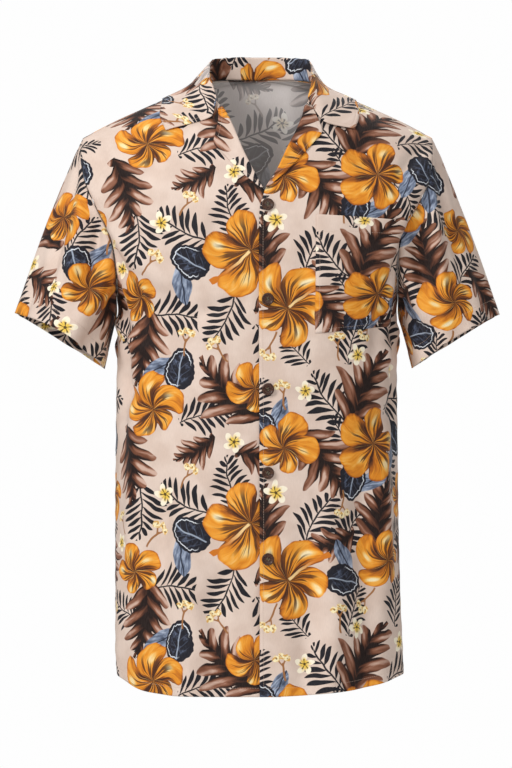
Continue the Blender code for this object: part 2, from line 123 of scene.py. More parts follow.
class BackEdge(NamedTuple):
    """The back's middle line at one height, then the neck seam to the shoulder point."""

    up: float
    height: float
    half_neck: float
    depth: float
    power: float
    sweep: float


class LapelRow(NamedTuple):
    """The reach of each lapel's outer edge from the roll line at one height."""

    up: float
    left: float
    right: float


class Section(NamedTuple):
    """One section of the collar: its seam height, fold place, and seats on the body."""

    face: Face
    seam: float
    fold: tuple[float, float, float]
    waist: tuple[float, float, float]
    edge: tuple[float, float, float]


class Cuff(NamedTuple):
    """Where a cuff's top and bottom corners hang, and how far its front rides up."""

    top_x: float
    top_z: float
    under_x: float
    under_z: float
    rise: float


EDGES = [
    Edge(0.00, -720.0, 174.5, 180.0, 0.0, 174.5, 180.0, 0.0),
    Edge(0.06, -694.0, 177.0, 179.5, 0.0, 177.0, 179.5, 0.0),
    Edge(0.16, -632.0, 177.0, 176.5, 0.0, 177.0, 176.5, 0.0),
    Edge(0.32, -512.0, 177.0, 173.6, 0.0, 177.0, 173.6, 0.0),
    Edge(0.50, -381.0, 175.5, 172.4, 0.0, 175.5, 172.4, 0.0),
    Edge(0.62, -278.0, 173.5, 172.0, 0.0, 173.5, 172.0, 0.0),
    Edge(0.70, -234.0, 174.5, 172.0, 50.0, 180.0, 178.0, 48.0),
    Edge(0.76, -192.0, 180.5, 173.5, 68.0, 190.0, 187.0, 66.0),
    Edge(0.84, -143.0, 202.0, 198.0, 63.0, 204.0, 201.0, 64.0),
    Edge(0.90, -112.0, 215.5, 212.5, 46.0, 213.0, 211.0, 50.0),
    Edge(0.95, -84.0, 220.4, 217.0, 26.0, 218.0, 215.0, 29.0),
    Edge(1.00, -59.5, 217.6, 216.4, 0.0, 217.6, 216.4, 0.0),
]
FRONT_EDGES = [
    FrontEdge(0.00, -749.5, 28.0, 2.0, 121.0, 2.5, 7.0),
    FrontEdge(0.16, -632.0, 28.0, 2.0, 118.0, 2.5, 2.0),
    FrontEdge(0.50, -381.0, 28.0, 1.5, 118.0, 2.5, 1.0),
    FrontEdge(0.70, -236.0, 28.0, 1.0, 122.0, 2.4, 1.0),
    FrontEdge(0.80, -156.0, 27.0, 1.5, 118.0, 2.2, 1.0),
    FrontEdge(0.84, -127.0, 8.0, 8.0, 112.0, 2.0, 1.0),
    FrontEdge(0.87, -101.0, -7.6, 25.0, 104.0, 1.85, 1.0),
    FrontEdge(0.90, -75.5, -20.3, 37.0, 94.0, 1.7, 1.0),
    FrontEdge(0.95, -37.5, -36.5, 55.0, 72.0, 1.4, 1.0),
    FrontEdge(0.97, -13.0, -52.0, 62.0, 50.0, 1.25, 1.0),
    FrontEdge(0.985, -2.0, -67.0, 71.0, 26.0, 1.12, 1.0),
    FrontEdge(1.00, 5.0, -78.0, 79.0, 0.0, 1.0, 1.0),
]
BACK_EDGES = [
    BackEdge(0.00, -749.8, 0.0, 122.0, 2.5, 7.0),
    BackEdge(0.16, -632.0, 0.0, 119.0, 2.5, 2.0),
    BackEdge(0.50, -381.0, 0.0, 118.0, 2.5, 2.0),
    BackEdge(0.70, -218.0, 0.0, 123.0, 2.4, 2.0),
    BackEdge(0.84, -88.0, 0.0, 102.0, 2.0, 2.0),
    BackEdge(0.90, -24.0, 0.0, 77.0, 1.8, 1.9),
    BackEdge(0.93, 12.0, 0.0, 62.0, 1.65, 1.7),
    BackEdge(0.95, 12.5, 35.0, 54.0, 1.45, 1.4),
    BackEdge(0.975, 10.0, 62.0, 33.0, 1.2, 1.15),
    BackEdge(1.00, 5.0, 78.5, 0.0, 1.0, 1.0),
]
COLLAR = [
    Section(Face.FRONT, 0.969, (-51.5, -53, -9), (-56, -33, 4.0), (-114, -52, 3.2)),
    Section(Face.FRONT, 0.985, (-57, -28, 12), (-78, -14, 4.8), (-120, -38, 2.2)),
    Section(Face.SEAM, 1.0, (-60, 4, 31), (-77.5, 5, 3.8), (-118, -16, 1.9)),
    Section(Face.BACK, 0.975, (-54, 36, 40), (-74, 5, 8.0), (-95, -17, 3.2)),
    Section(Face.BACK, 0.95, (-32, 55, 42), (-36, 8, 12.0), (-44, -12, 6.0)),
    Section(Face.BACK, 0.93, (0, 61, 42.5), (0, 8, 12.0), (0, -12, 6.0)),
    Section(Face.BACK, 0.95, (36, 55, 41.5), (40, 8, 12.0), (48, -12, 6.0)),
    Section(Face.BACK, 0.975, (60, 36, 40), (74, 5, 8.0), (97, -17, 3.2)),
    Section(Face.SEAM, 1.0, (66, 4, 31), (79.5, 5, 3.8), (121, -16, 1.9)),
    Section(Face.FRONT, 0.985, (66, -28, 12), (84, -14, 4.8), (124, -37, 2.2)),
    Section(Face.FRONT, 0.969, (61.5, -53, -9), (82, -43, 4.0), (119, -51, 3.2)),
]
LAPEL_ROWS = [
    LapelRow(0.846, 2.0, 2.5),
    LapelRow(0.87, 14.0, 10.5),
    LapelRow(0.90, 24.0, 21.0),
    LapelRow(0.918, 29.0, 25.0),
    LapelRow(0.938, 21.0, 29.0),
    LapelRow(0.950, 13.5, 22.0),
    LapelRow(0.962, 5.0, 9.0),
]
CUFFS = {
    Side.LEFT: Cuff(298.0, -278.0, 190.0, -346.0, 11.0),
    Side.RIGHT: Cuff(295.0, -280.0, 191.0, -345.0, 4.0),
}
HEM_SLOPE = {Side.LEFT: 0.0, Side.RIGHT: 0.56}      # how much of a hem's rise is gradual
UNDERARM = 0.62
NECK_TOP = 0.93
CUFF_HALF_DEPTH = 72 * MM
LAP_DROP = 2.6 * MM
LAP_SINK = 3.6 * MM             # how much further the under lap's free edge lies back
LAP_REACH = 42 * MM
LAP_BLEND = 0.45
SEAM_GAP = 0.3 * MM
SHOULDER_CROWN = 2.8 * MM      # rise of the shoulder above a straight line
ROW_RUN = 0.25
SHOULDER_RUN = 0.82
SAMPLES = 97                   # points on a row before it is cut to equal lengths
CLOTH = 0.6 * MM               # thickness of the cloth
CREASE_GAIN = 2.4              # how much deeper the body's creases hang than as listed
SEARCH_STEPS = 61
SEARCH_ROUNDS = 4
HEM_STITCH = 11 * MM           # from the hem's edge to its stitches
HEM_RISE = 0.35 * MM           # how far a turned hem stands out
STITCH_IN = 5 * MM             # from any other edge to its topstitching
LEVEL_Z = -400 * MM            # where a height in the cut is the same as in the shirt


def smooth(stations: Sequence[float], values: Sequence[float], at: np.ndarray) -> np.ndarray:
    """Reads a cubic through the stations that never swings past their values.

    Args:
        stations: Rising places at which the values are known.
        values: The value at each station.
        at: Where to read the curve.

    Returns:
        The values read.
    """
    stations, values = np.asarray(stations, float), np.asarray(values, float)
    at = np.clip(np.asarray(at, float), stations[0], stations[-1])
    steps = np.diff(stations)
    slopes = np.diff(values) / steps
    same_way = slopes[:-1] * slopes[1:] > 0
    total = np.where(same_way, slopes[:-1] + slopes[1:], 1.0)
    tangents = np.empty_like(values)
    tangents[1:-1] = np.where(same_way, 2 * slopes[:-1] * slopes[1:] / total, 0.0)
    tangents[0], tangents[-1] = slopes[0], slopes[-1]
    span = np.clip(np.searchsorted(stations, at) - 1, 0, len(steps) - 1)
    part = (at - stations[span]) / steps[span]
    rise = part * part * (3 - 2 * part)
    leave = part * (1 - part) ** 2 * steps[span] * tangents[span]
    arrive = part * part * (part - 1) * steps[span] * tangents[span + 1]
    return values[span] * (1 - rise) + values[span + 1] * rise + leave + arrive


def plain(table: Sequence[NamedTuple], name: str, up: np.ndarray) -> np.ndarray:
    """Reads one named column of a table at the heights asked for."""
    return smooth([row.up for row in table], [getattr(row, name) for row in table], up)


def column(table: Sequence[NamedTuple], name: str, up: np.ndarray) -> np.ndarray:
    """Reads one named column of a table of millimetres, and gives metres."""
    return plain(table, name, up) * MM


def unit(vectors: np.ndarray) -> np.ndarray:
    """Gives the vectors at length one."""
    return vectors / np.maximum(np.linalg.norm(vectors, axis=-1, keepdims=True), 1e-12)


def ease(values: np.ndarray) -> np.ndarray:
    """Turns shares from 0 to 1 into a soft step."""
    values = np.clip(values, 0, 1)
    return values * values * (3 - 2 * values)


def bell(values: np.ndarray, width: float, middle: float = 0.0) -> np.ndarray:
    """Gives a soft bump of height one round a middle value."""
    return np.exp(-((values - middle) / width) ** 2)


def read_line(line: np.ndarray, run: np.ndarray, at: np.ndarray) -> np.ndarray:
    """Gives the places on a line at lengths along it."""
    return np.stack([np.interp(at, run, line[:, k]) for k in range(3)], axis=1)


def smooth_line(places: np.ndarray, at: np.ndarray) -> np.ndarray:
    """Gives a smooth line through places, read at fractional place numbers."""
    return np.stack([smooth(range(len(places)), places[:, k], at) for k in range(3)], axis=1)


def running(points: np.ndarray, axis: int = 0) -> np.ndarray:
    """Gives the length run along a grid's lines up to each point.

    Args:
        points: A line or a grid of places.
        axis: The axis along which the lines run.

    Returns:
        The lengths, starting from 0.
    """
    steps = np.linalg.norm(np.diff(points, axis=axis), axis=-1)
    start = np.zeros_like(np.take(steps, [0], axis=axis))
    return np.concatenate([start, np.cumsum(steps, axis=axis)], axis=axis)


class Half(NamedTuple):
    """One quarter of the body's form: a face and a side of it."""

    face: Face
    side: Side

    def side_points(self, ups: np.ndarray) -> np.ndarray:
        """Gives the points of the side seam, or of the armhole above the underarm."""
        if self.face is Face.FRONT:
            x, y = column(EDGES, self.side.value, ups), -column(EDGES, "front_y", ups)
        else:
            x = column(EDGES, "back_" + self.side.value, ups)
            y = column(EDGES, "back_y", ups)
        return np.stack([self.side.sign * x, y, column(EDGES, "height", ups)], axis=-1)

    def middle_points(self, ups: np.ndarray) -> np.ndarray:
        """Gives the points of the inner edge: lap, roll line or neck, or the back's middle."""
        if self.face is Face.FRONT:
            reach = "over" if self.side is Side.RIGHT else "under"
            x, y = column(FRONT_EDGES, reach, ups), -column(FRONT_EDGES, "depth", ups)
            return np.stack([x, y, column(FRONT_EDGES, "height", ups)], axis=-1)
        x = self.side.sign * column(BACK_EDGES, "half_neck", ups)
        y = column(BACK_EDGES, "depth", ups)
        return np.stack([x, y, column(BACK_EDGES, "height", ups)], axis=-1)

    def rows(self, shares: np.ndarray, ups: np.ndarray) -> np.ndarray:
        """Gives the places at equal-length shares of the body's rows.

        Args:
            shares: Shares of each row, from the inner edge to the side.
            ups: The rows' heights, as shares of the body's own.

        Returns:
            A grid of places, a row for each height.
        """
        ups = np.atleast_1d(np.asarray(ups, float))
        table = FRONT_EDGES if self.face is Face.FRONT else BACK_EDGES
        power = (2 / plain(table, "power", ups))[:, None]
        turn = np.linspace(0, math.pi / 2, SAMPLES)[None, :]
        sweep = plain(table, "sweep", ups)[:, None]
        slope = HEM_SLOPE[self.side] * np.clip((sweep - 1) / 6, 0, 1)
        across = np.sin(turn) ** power
        around = 1 - np.cos(turn).clip(0) ** power
        sweep = (1 - slope) * across ** (1.2 * sweep - 0.2) + slope * across ** 1.8
        start = self.middle_points(ups)[:, None, :]
        end = self.side_points(ups)[:, None, :]
        points = start + (end - start) * np.stack([across, around, sweep], axis=-1)
        points[..., 2] += SHOULDER_CROWN * ease((ups - 0.86) / 0.14)[:, None] * np.sin(
            math.pi * across ** 1.6)
        run = running(points, axis=1)
        return np.stack([read_line(line, length, np.asarray(shares) * length[-1])
                         for line, length in zip(points, run)])

    def find(self, x: float, z: float) -> tuple[float, float]:
        """Finds the share and height of the point of this half seen at x and z."""
        low, high = np.array([0.0, 0.02]), np.array([0.99, 1.0])
        for _ in range(SEARCH_ROUNDS):
            shares, ups = (np.linspace(low[k], high[k], SEARCH_STEPS) for k in range(2))
            grid = self.rows(shares, ups)
            away = np.hypot(grid[..., 0] - x, grid[..., 2] - z)
            row, place = np.unravel_index(np.argmin(away), away.shape)
            share, up = float(shares[place]), float(ups[row])
            reach = 2 * (high - low) / SEARCH_STEPS
            low = np.maximum([share, up] - reach, [0.0, 0.02])
            high = np.minimum([share, up] + reach, [0.99, 1.0])
        return share, up


FRONT_LEFT = Half(Face.FRONT, Side.RIGHT)      # the wearer's left front is on the +X side
FRONT_RIGHT = Half(Face.FRONT, Side.LEFT)
BACK_HALVES = (Half(Face.BACK, Side.LEFT), Half(Face.BACK, Side.RIGHT))

# ------------------------------------------------------------------ creases


class Crease(NamedTuple):
    """A soft ridge, or a trough when its depth is negative, along a path in the cloth.

    The path is in millimetres of the cloth. Each end keeps a share of the depth.
    """

    path: tuple[tuple[float, float], ...]
    width: float
    depth: float
    start: float = 0.0
    stop: float = 0.0

    def height(self, cloth: np.ndarray) -> np.ndarray:
        """Gives how far the crease lifts each point of the cloth.

        Args:
            cloth: Places in the cloth, in metres.

        Returns:
            The lift at each place, in metres.
        """
        path = np.array(self.path) * MM
        spans = np.diff(path, axis=0)
        lengths = np.linalg.norm(spans, axis=1)
        before = np.concatenate([[0], np.cumsum(lengths)])
        nearest = np.full(cloth.shape[:-1], np.inf)
        along = np.zeros(cloth.shape[:-1])
        for corner, span, length, run in zip(path, spans, lengths, before):
            share = np.clip(((cloth - corner) @ span) / length ** 2, 0, 1)
            away = np.linalg.norm(cloth - corner - share[..., None] * span, axis=-1)
            closer = away < nearest
            nearest = np.where(closer, away, nearest)
            along = np.where(closer, (run + share * length) / before[-1], along)
        keep = self.start + (1 - self.start) * ease(along / 0.4)
        keep = keep * (self.stop + (1 - self.stop) * ease((1 - along) / 0.45))
        across = nearest / (self.width * MM)
        return self.depth * MM * keep * np.exp(-across ** 2) * (1 - 0.45 * across ** 2)


def mirrored(creases: Iterable[Crease], shift: float = 0.0, gain: float = 1.0) -> list[Crease]:
    """Gives similar creases on the other side, a little moved and changed in depth.

    Args:
        creases: The creases of one side.
        shift: How far each is moved up the cloth, in millimetres.
        gain: By how much each is deeper.

    Returns:
        The creases of the other side.
    """
    return [
        crease._replace(
            path=tuple((-x, z + shift * (1 + n % 3)) for x, z in crease.path),
            depth=crease.depth * (gain + 0.15 * (n % 2)))
        for n, crease in enumerate(creases)]


FRONT_RIGHT_CREASES = [
    Crease(((-196, -190), (-176, -232), (-150, -268), (-128, -322)), 13, -3.6, 0.8),
    Crease(((-186, -176), (-158, -205), (-122, -232), (-84, -252)), 15, 3.0, 0.9),
    Crease(((-205, -236), (-190, -300), (-186, -380), (-192, -470)), 15, -3.8, 0.6),
    Crease(((-214, -290), (-172, -316), (-126, -330)), 12, 2.4, 0.9),
    Crease(((-222, -330), (-182, -372), (-138, -398), (-104, -404)), 14, -2.4, 0.7),
    Crease(((-168, -350), (-158, -450), (-166, -560), (-158, -650)), 20, 3.4),
    Crease(((-128, -420), (-120, -520), (-132, -640), (-126, -760)), 19, -3.6, 0, 1),
    Crease(((-86, -470), (-92, -570), (-84, -660), (-90, -760)), 21, 3.0, 0, 1),
    Crease(((-46, -540), (-54, -640), (-46, -760)), 16, -2.2, 0, 1),
    Crease(((-205, -520), (-196, -620), (-204, -740)), 18, 1.3, 0, 1),
    Crease(((-20, -262), (-60, -272), (-106, -300)), 12, -1.7, 0.7),
    Crease(((-16, -374), (-52, -392), (-98, -396)), 12, -1.6, 0.7),
    Crease(((-14, -476), (-50, -500), (-92, -540)), 13, -1.8, 0.7),
    Crease(((-12, -584), (-40, -604), (-76, -650)), 12, -1.4, 0.7),
    Crease(((-100, -40), (-128, -86), (-150, -130)), 14, -2.2, 0.5),
    Crease(((-206, -66), (-180, -104), (-160, -150)), 13, -2.4, 0.7),
    Crease(((-60, -120), (-72, -180), (-64, -240)), 17, 1.9),
]
FRONT_LEFT_CREASES = [
    Crease(((194, -186), (178, -236), (158, -286), (150, -350)), 13, -3.4, 0.8),
    Crease(((190, -170), (166, -196), (140, -214), (112, -222)), 13, 2.3, 0.9),
    Crease(((208, -240), (198, -320), (206, -400), (200, -490)), 15, -3.8, 0.6),
    Crease(((216, -300), (178, -332), (140, -352)), 12, 2.4, 0.9),
    Crease(((224, -360), (190, -396), (150, -418), (110, -430)), 14, -2.6, 0.7),
    Crease(((176, -380), (164, -470), (172, -580), (164, -690)), 19, 3.6),
    Crease(((136, -430), (130, -540), (142, -660), (138, -760)), 20, -3.6, 0, 1),
    Crease(((96, -440), (88, -540), (96, -650), (88, -760)), 18, 3.2, 0, 1),
    Crease(((54, -500), (62, -610), (54, -760)), 19, -2.8, 0, 1),
    Crease(((208, -540), (200, -640), (210, -740)), 18, 1.3, 0, 1),
    Crease(((26, -262), (58, -276), (90, -292)), 11, -1.7, 0.8),
    Crease(((24, -374), (64, -384), (116, -372)), 12, -1.9, 0.8),
    Crease(((24, -476), (66, -492), (108, -524)), 12, -1.8, 0.8),
    Crease(((24, -582), (54, -606), (92, -620)), 12, -1.6, 0.8),
    Crease(((104, -42), (130, -84), (158, -120)), 14, -2.2, 0.5),
    Crease(((206, -64), (182, -100), (166, -146)), 13, -2.2, 0.7),
    Crease(((64, -150), (58, -220), (62, -300), (56, -350)), 13, -1.6),
]
BACK_LEFT_CREASES = [
    Crease(((-192, -160), (-160, -200), (-120, -226), (-70, -236)), 16, 3.2, 0.9),
    Crease(((-196, -196), (-170, -250), (-140, -290), (-118, -350)), 14, -3.6, 0.8),
    Crease(((-210, -250), (-196, -330), (-204, -430)), 15, -3.6, 0.6),
    Crease(((-222, -310), (-180, -344), (-130, -366)), 13, 2.6, 0.8),
    Crease(((-164, -350), (-152, -460), (-164, -580), (-154, -680)), 20, 3.4),
    Crease(((-118, -400), (-112, -520), (-124, -650), (-118, -760)), 20, -3.8, 0, 1),
    Crease(((-72, -430), (-80, -560), (-70, -660), (-76, -760)), 21, 3.2, 0, 1),
    Crease(((-204, -520), (-196, -640), (-206, -740)), 18, 1.2, 0, 1),
    Crease(((-90, -20), (-120, -80), (-134, -150)), 17, -2.6, 0.4),
    Crease(((-40, 0), (-52, -70), (-46, -150)), 15, -1.8, 0.5),
    Crease(((-222, -400), (-176, -440), (-120, -452)), 14, -2.2, 0.7),
]
BACK_CREASES = [
    *BACK_LEFT_CREASES,
    *mirrored(BACK_LEFT_CREASES, shift=-7, gain=0.82),
    Crease(((-8, -300), (4, -430), (-10, -560), (-2, -760)), 20, -3.0, 0, 1),
    Crease(((-60, -250), (0, -268), (66, -252)), 18, -2.0),
    Crease(((-84, -330), (-10, -352), (50, -338)), 17, 1.9),
]
SLEEVE_CREASES = [
    Crease(((26, -4), (46, -60), (58, -120), (66, -180)), 13, -3.0, 0.7),
    Crease(((58, -2), (78, -54), (92, -100), (98, -150)), 12, 3.2, 0.8),
    Crease(((92, -2), (108, -46), (120, -96)), 11, -3.8, 0.9),
    Crease(((126, -6), (124, -60), (112, -130), (106, -210)), 13, 2.8, 0.8),
    Crease(((158, -10), (150, -60), (140, -110), (136, -190)), 12, -3.4, 0.9, 0.6),
    Crease(((-4, -30), (8, -90), (6, -160), (14, -240)), 17, 2.2, 0.3, 0.8),
    Crease(((40, -120), (34, -180), (42, -250)), 14, -1.9, 0, 1),
    Crease(((84, -150), (76, -200), (80, -250)), 13, 1.9, 0, 1),
    Crease(((-30, -6), (-52, -60), (-62, -130), (-60, -200)), 14, -3.0, 0.7),
    Crease(((-70, -4), (-86, -60), (-98, -120)), 12, 3.0, 0.8),
    Crease(((-108, -4), (-118, -50), (-112, -110), (-104, -170)), 12, -3.6, 0.9),
    Crease(((-140, -8), (-136, -70), (-124, -150)), 12, 2.8, 0.8, 0.4),
    Crease(((-36, -150), (-30, -200), (-38, -250)), 13, 1.8, 0, 1),
    Crease(((-88, -160), (-80, -210), (-86, -250)), 13, -1.8, 0, 1),
]


def ripple(cloth: np.ndarray, phase: float) -> np.ndarray:
    """Gives the slight unevenness of hanging cloth, mostly upright.

    Args:
        cloth: Places in the cloth, in metres.
        phase: A number that sets one piece's waves apart from another's.

    Returns:
        The lift at each place, in metres.
    """
    x, z = cloth[..., 0] / MM, cloth[..., 1] / MM
    bend = 9 * np.sin(z / 97 + phase) + 5 * np.sin(z / 41 + 2 * phase)
    waves = np.sin((x + bend) / 19 + phase) * np.sin(z / 88 + 1.7 * phase)
    cross = np.sin((x * 0.8 + z * 0.6) / 27 + 3 * phase) * np.sin((x - z) / 63 + phase)
    fine = np.sin((x + 1.4 * bend) / 9.5) * np.sin(z / 47 + phase)
    return MM * (0.55 * waves + 0.4 * cross + 0.12 * fine)


def hem_band(from_edge: np.ndarray, width: float) -> np.ndarray:
    """Gives the rise of a turned hem over its width."""
    return HEM_RISE * ease((width - from_edge) / (1.6 * MM) + 0.5)


# ------------------------------------------------------------------ sheets of cloth


@dataclass
class Sheet:
    """A grid of places on a piece of cloth, with its places in the cut and its normals.

    Rows run up the cloth and columns run across it. The edge grid holds the distance to
    the nearest stitched edge.
    """

    points: np.ndarray
    cloth: np.ndarray
    edge: np.ndarray
    outward: np.ndarray = field(init=False)

    def __post_init__(self) -> None:
        """Works the outward directions out from the grid."""
        self.outward = self.normals()

    def normals(self) -> np.ndarray:
        """Gives the grid's unit normals, on the side from which the cut reads true."""
        across = np.gradient(self.points, axis=1)
        along = np.gradient(self.points, axis=0)
        normals = unit(np.cross(across, along))
        span = np.gradient(self.cloth, axis=1)[..., 0].mean()
        return normals if span > 0 else -normals

    def lift(self, heights: np.ndarray) -> None:
        """Moves the grid along its normals, and reads the normals again."""
        self.points = self.points + self.outward * heights[..., None]
        self.outward = self.normals()

    def at(self, rows: np.ndarray, columns: np.ndarray) -> tuple[np.ndarray, np.ndarray]:
        """Reads places and normals between the grid's own.

        Args:
            rows: Fractional row numbers.
            columns: Fractional column numbers.

        Returns:
            The places and the outward directions there.
        """
        count, width = self.points.shape[:2]
        rows, columns = np.clip(rows, 0, count - 1.001), np.clip(columns, 0, width - 1.001)
        low, left = np.floor(rows).astype(int), np.floor(columns).astype(int)
        up, right = (rows - low)[..., None], (columns - left)[..., None]
        read = []
        for grid in (self.points, self.outward):
            below = grid[low, left] * (1 - right) + grid[low, left + 1] * right
            above = grid[low + 1, left] * (1 - right) + grid[low + 1, left + 1] * right
            read.append(below * (1 - up) + above * up)
        return read[0], unit(read[1])


@dataclass
class BodySheet(Sheet):
    """A quarter of the body's cloth, which other pieces can be laid on."""

    half: Half = FRONT_LEFT
    shares: np.ndarray = field(default_factory=lambda: np.zeros(1))
    ups: np.ndarray = field(default_factory=lambda: np.zeros(1))

    def on(self, shares: np.ndarray, ups: np.ndarray, lift: np.ndarray) -> np.ndarray:
        """Gives places lifted off the cloth at shares and heights of the body."""
        columns = np.interp(shares, self.shares, np.arange(len(self.shares)))
        rows = np.interp(ups, self.ups, np.arange(len(self.ups)))
        places, outward = self.at(rows, columns)
        return places + outward * np.asarray(lift)[..., None]


class Cut(Enum):
    """Where each piece is cut from the printed cloth: shift across, shift up, and turn."""

    FRONT_LEFT = (240.0, 0.0, 0.0)
    FRONT_RIGHT = (200.0, 0.0, 0.0)
    BACK = (110.0, 203.0, 0.0)
    SLEEVE_LEFT = (14.0, 81.0, 0.0)
    SLEEVE_RIGHT = (158.0, 193.0, 0.0)
    COLLAR = (-73.0, -4.0, 0.0)
    LAPEL_LEFT = (330.0, 210.0, -30.0)
    LAPEL_RIGHT = (120.0, 160.0, 35.0)
    POCKET = (237.0, 11.0, 0.0)

    def of(self, sheet: "Sheet") -> "Sheet":
        """Gives the sheet with its places in the whole cloth."""
        across, up, turn = self.value
        turn = math.radians(turn)
        spin = np.array([[math.cos(turn), math.sin(turn)], [-math.sin(turn), math.cos(turn)]])
        moved = replace(sheet, cloth=sheet.cloth @ spin + np.array([across, up]) * MM)
        moved.outward = sheet.outward
        return moved


def lay(name: str, sheets: Sequence[Sheet], dress: Sequence[Material],
        closed: bool = False, thickness: float = CLOTH) -> Piece:
    """Makes a piece of cloth from its grids, with the cut as a UV map.

    Args:
        name: The piece's name.
        sheets: The grids that join into one piece.
        dress: Materials of the right side and of the wrong side.
        closed: Whether the grid's side edges meet.
        thickness: The cloth's thickness, which goes inwards.

    Returns:
        The new object.
    """
    shape = bmesh.new()
    cut = shape.loops.layers.uv.new("cloth")
    hem = shape.verts.layers.float.new("edge")
    for sheet in sheets:
        rows, columns = sheet.points.shape[:2]
        made = bmesh.ops.create_grid(
            shape, x_segments=columns - 1, y_segments=rows - 1, size=0.5)["verts"]
        places = {}
        for vertex in made:
            row = round((vertex.co.y + 0.5) * (rows - 1))
            place = round((vertex.co.x + 0.5) * (columns - 1))
            places[vertex] = (row, place)
            vertex.co = sheet.points[row, place]
            vertex[hem] = sheet.edge[row, place]
        faces = {face for vertex in made for face in vertex.link_faces}
        for face in faces:
            for loop in face.loops:
                loop[cut].uv = sheet.cloth[places[loop.vert]]
        middle = sheet.outward[rows // 2, columns // 2]
        centre = min(faces, key=lambda face: (
            face.calc_center_median() - Vector(sheet.points[rows // 2, columns // 2])).length)
        centre.normal_update()
        if centre.normal.dot(Vector(middle)) < 0:
            bmesh.ops.reverse_faces(shape, faces=list(faces))
    if closed or len(sheets) > 1:
        bmesh.ops.remove_doubles(shape, verts=shape.verts, dist=0.02 * MM)
    mesh = meshed(name, shape)
    mesh.shade_smooth()
    piece = shown(name, mesh, *dress)
    wall = piece.modifiers.new("thickness", "SOLIDIFY")
    wall.thickness = thickness
    wall.offset = -1
    wall.material_offset = 1 if len(dress) > 1 else 0
    wall.use_even_offset = False
    return piece


# ------------------------------------------------------------------ body of the shirt


@dataclass
class Body:
    """The two fronts and the back, on the form's quarters."""

    step: float = 3.2 * MM
    seam_dip: float = 0.9 * MM
    seam_width: float = 3.4 * MM
    side_calm: float = 22 * MM     # how far from a seam or the lap the creases fade out
    top_calm: float = 24 * MM
    lap_calm: float = 30 * MM
    sheets: dict[Half, BodySheet] = field(default_factory=dict)

    def heights(self) -> np.ndarray:
        """Gives the rows' heights, closer together at the hem."""
        count = round(SHOULDER_RUN / self.step)
        top = 1 - 0.5 * SEAM_GAP / SHOULDER_RUN
        turn = np.linspace(0, 1, count + 1)
        return top * (turn - 0.012 * np.sin(math.pi * np.clip(turn / 0.2, 0, 1)))

    def quarter(self, half: Half) -> BodySheet:
        """Lays the cloth of one quarter, creased and with its seams sunk.

        Args:
            half: The quarter.

        Returns:
            Its sheet.
        """
        ups = self.heights()
        count = round(ROW_RUN / self.step)
        shares = np.linspace(0, 1 - 0.5 * SEAM_GAP / ROW_RUN, count + 1)
        points = half.rows(shares, ups)
        flat = points * np.array([1, 1, 0])
        across = half.side.sign * running(flat, axis=1) + points[:, :1, 0]
        if half.face is Face.BACK:
            across = -across
        middle = points[:, 0] * np.array([0, 1, 1])
        rise = running(middle)[:, None]
        level = np.interp(LEVEL_Z, points[:, 0, 2], rise[:, 0]) - LEVEL_Z
        drop = rise - level + (points[..., 2] - points[:, :1, 2])
        cloth = np.stack([across, drop], axis=-1)
        edge = running(points, axis=0)
        if half == FRONT_LEFT:
            edge = np.minimum(edge, running(points, axis=1) + HEM_STITCH - STITCH_IN)
        sheet = BodySheet(points, cloth, edge, half, shares, ups)
        if half.face is Face.BACK:
            sheet.outward[ups <= NECK_TOP, 0, 0] = 0
            sheet.outward = unit(sheet.outward)
        self.crease(sheet)
        self.sheets[half] = sheet
        return sheet

    def crease(self, sheet: BodySheet) -> None:
        """Presses the creases, seams and hem of a quarter into its sheet."""
        half = sheet.half
        if half.face is Face.BACK:
            creases, phase = BACK_CREASES, 4.1
        elif half is FRONT_LEFT:
            creases, phase = FRONT_LEFT_CREASES, 0.7
        else:
            creases, phase = FRONT_RIGHT_CREASES, 2.3
        lift = ripple(sheet.cloth, phase)
        for crease in creases:
            lift = lift + CREASE_GAIN * crease.height(sheet.cloth)
        lengths = running(sheet.points, axis=1)
        to_side = lengths[:, -1:] - lengths
        from_hem = running(sheet.points, axis=0)
        to_top = from_hem[-1:] - from_hem
        loose = ease(to_side / self.side_calm) * ease(to_top / self.top_calm)
        if half.face is Face.FRONT:
            loose = loose * (0.25 + 0.75 * ease(lengths / self.lap_calm))
        lift = lift * (0.03 + 0.97 * loose)
        dip = bell(to_side, self.seam_width) + bell(to_top, self.seam_width)
        lift = lift - self.seam_dip * np.minimum(dip, 1)
        pucker = np.sin(from_hem / (4.3 * MM) + 1.3 * np.sin(from_hem / (31 * MM)))
        lift = lift + 0.32 * MM * pucker * bell(to_side, 5 * MM, 7 * MM)
        lift = lift + hem_band(from_hem, HEM_STITCH)
        if half == FRONT_RIGHT:
            lift = lift - LAP_DROP * (1 - ease(sheet.shares / LAP_BLEND))[None, :]
            below_neck = 1 - ease((sheet.ups[:, None] - 0.74) / 0.09)
            lift = lift - LAP_SINK * below_neck * (1 - ease(lengths / LAP_REACH))
        sheet.points = sheet.points + sheet.outward * lift[..., None]
        if half.face is Face.BACK:
            sheet.points[sheet.ups <= NECK_TOP, 0, 0] = 0
        sheet.outward = sheet.normals()

    def build(self, cloth: "Dress") -> list[Piece]:
        """Makes the fronts and the back.

        Args:
            cloth: The materials of the cloth.

        Returns:
            The three pieces.
        """
        left = [Cut.FRONT_LEFT.of(self.quarter(FRONT_LEFT))]
        right = [Cut.FRONT_RIGHT.of(self.quarter(FRONT_RIGHT))]
        backs = [Cut.BACK.of(self.quarter(half)) for half in BACK_HALVES]
        return [
            lay("left_front", left, cloth.sides()),
            lay("right_front", right, cloth.sides()),
            lay("back_panel", backs, cloth.sides()),
        ]


# ------------------------------------------------------------------ the other cloth pieces


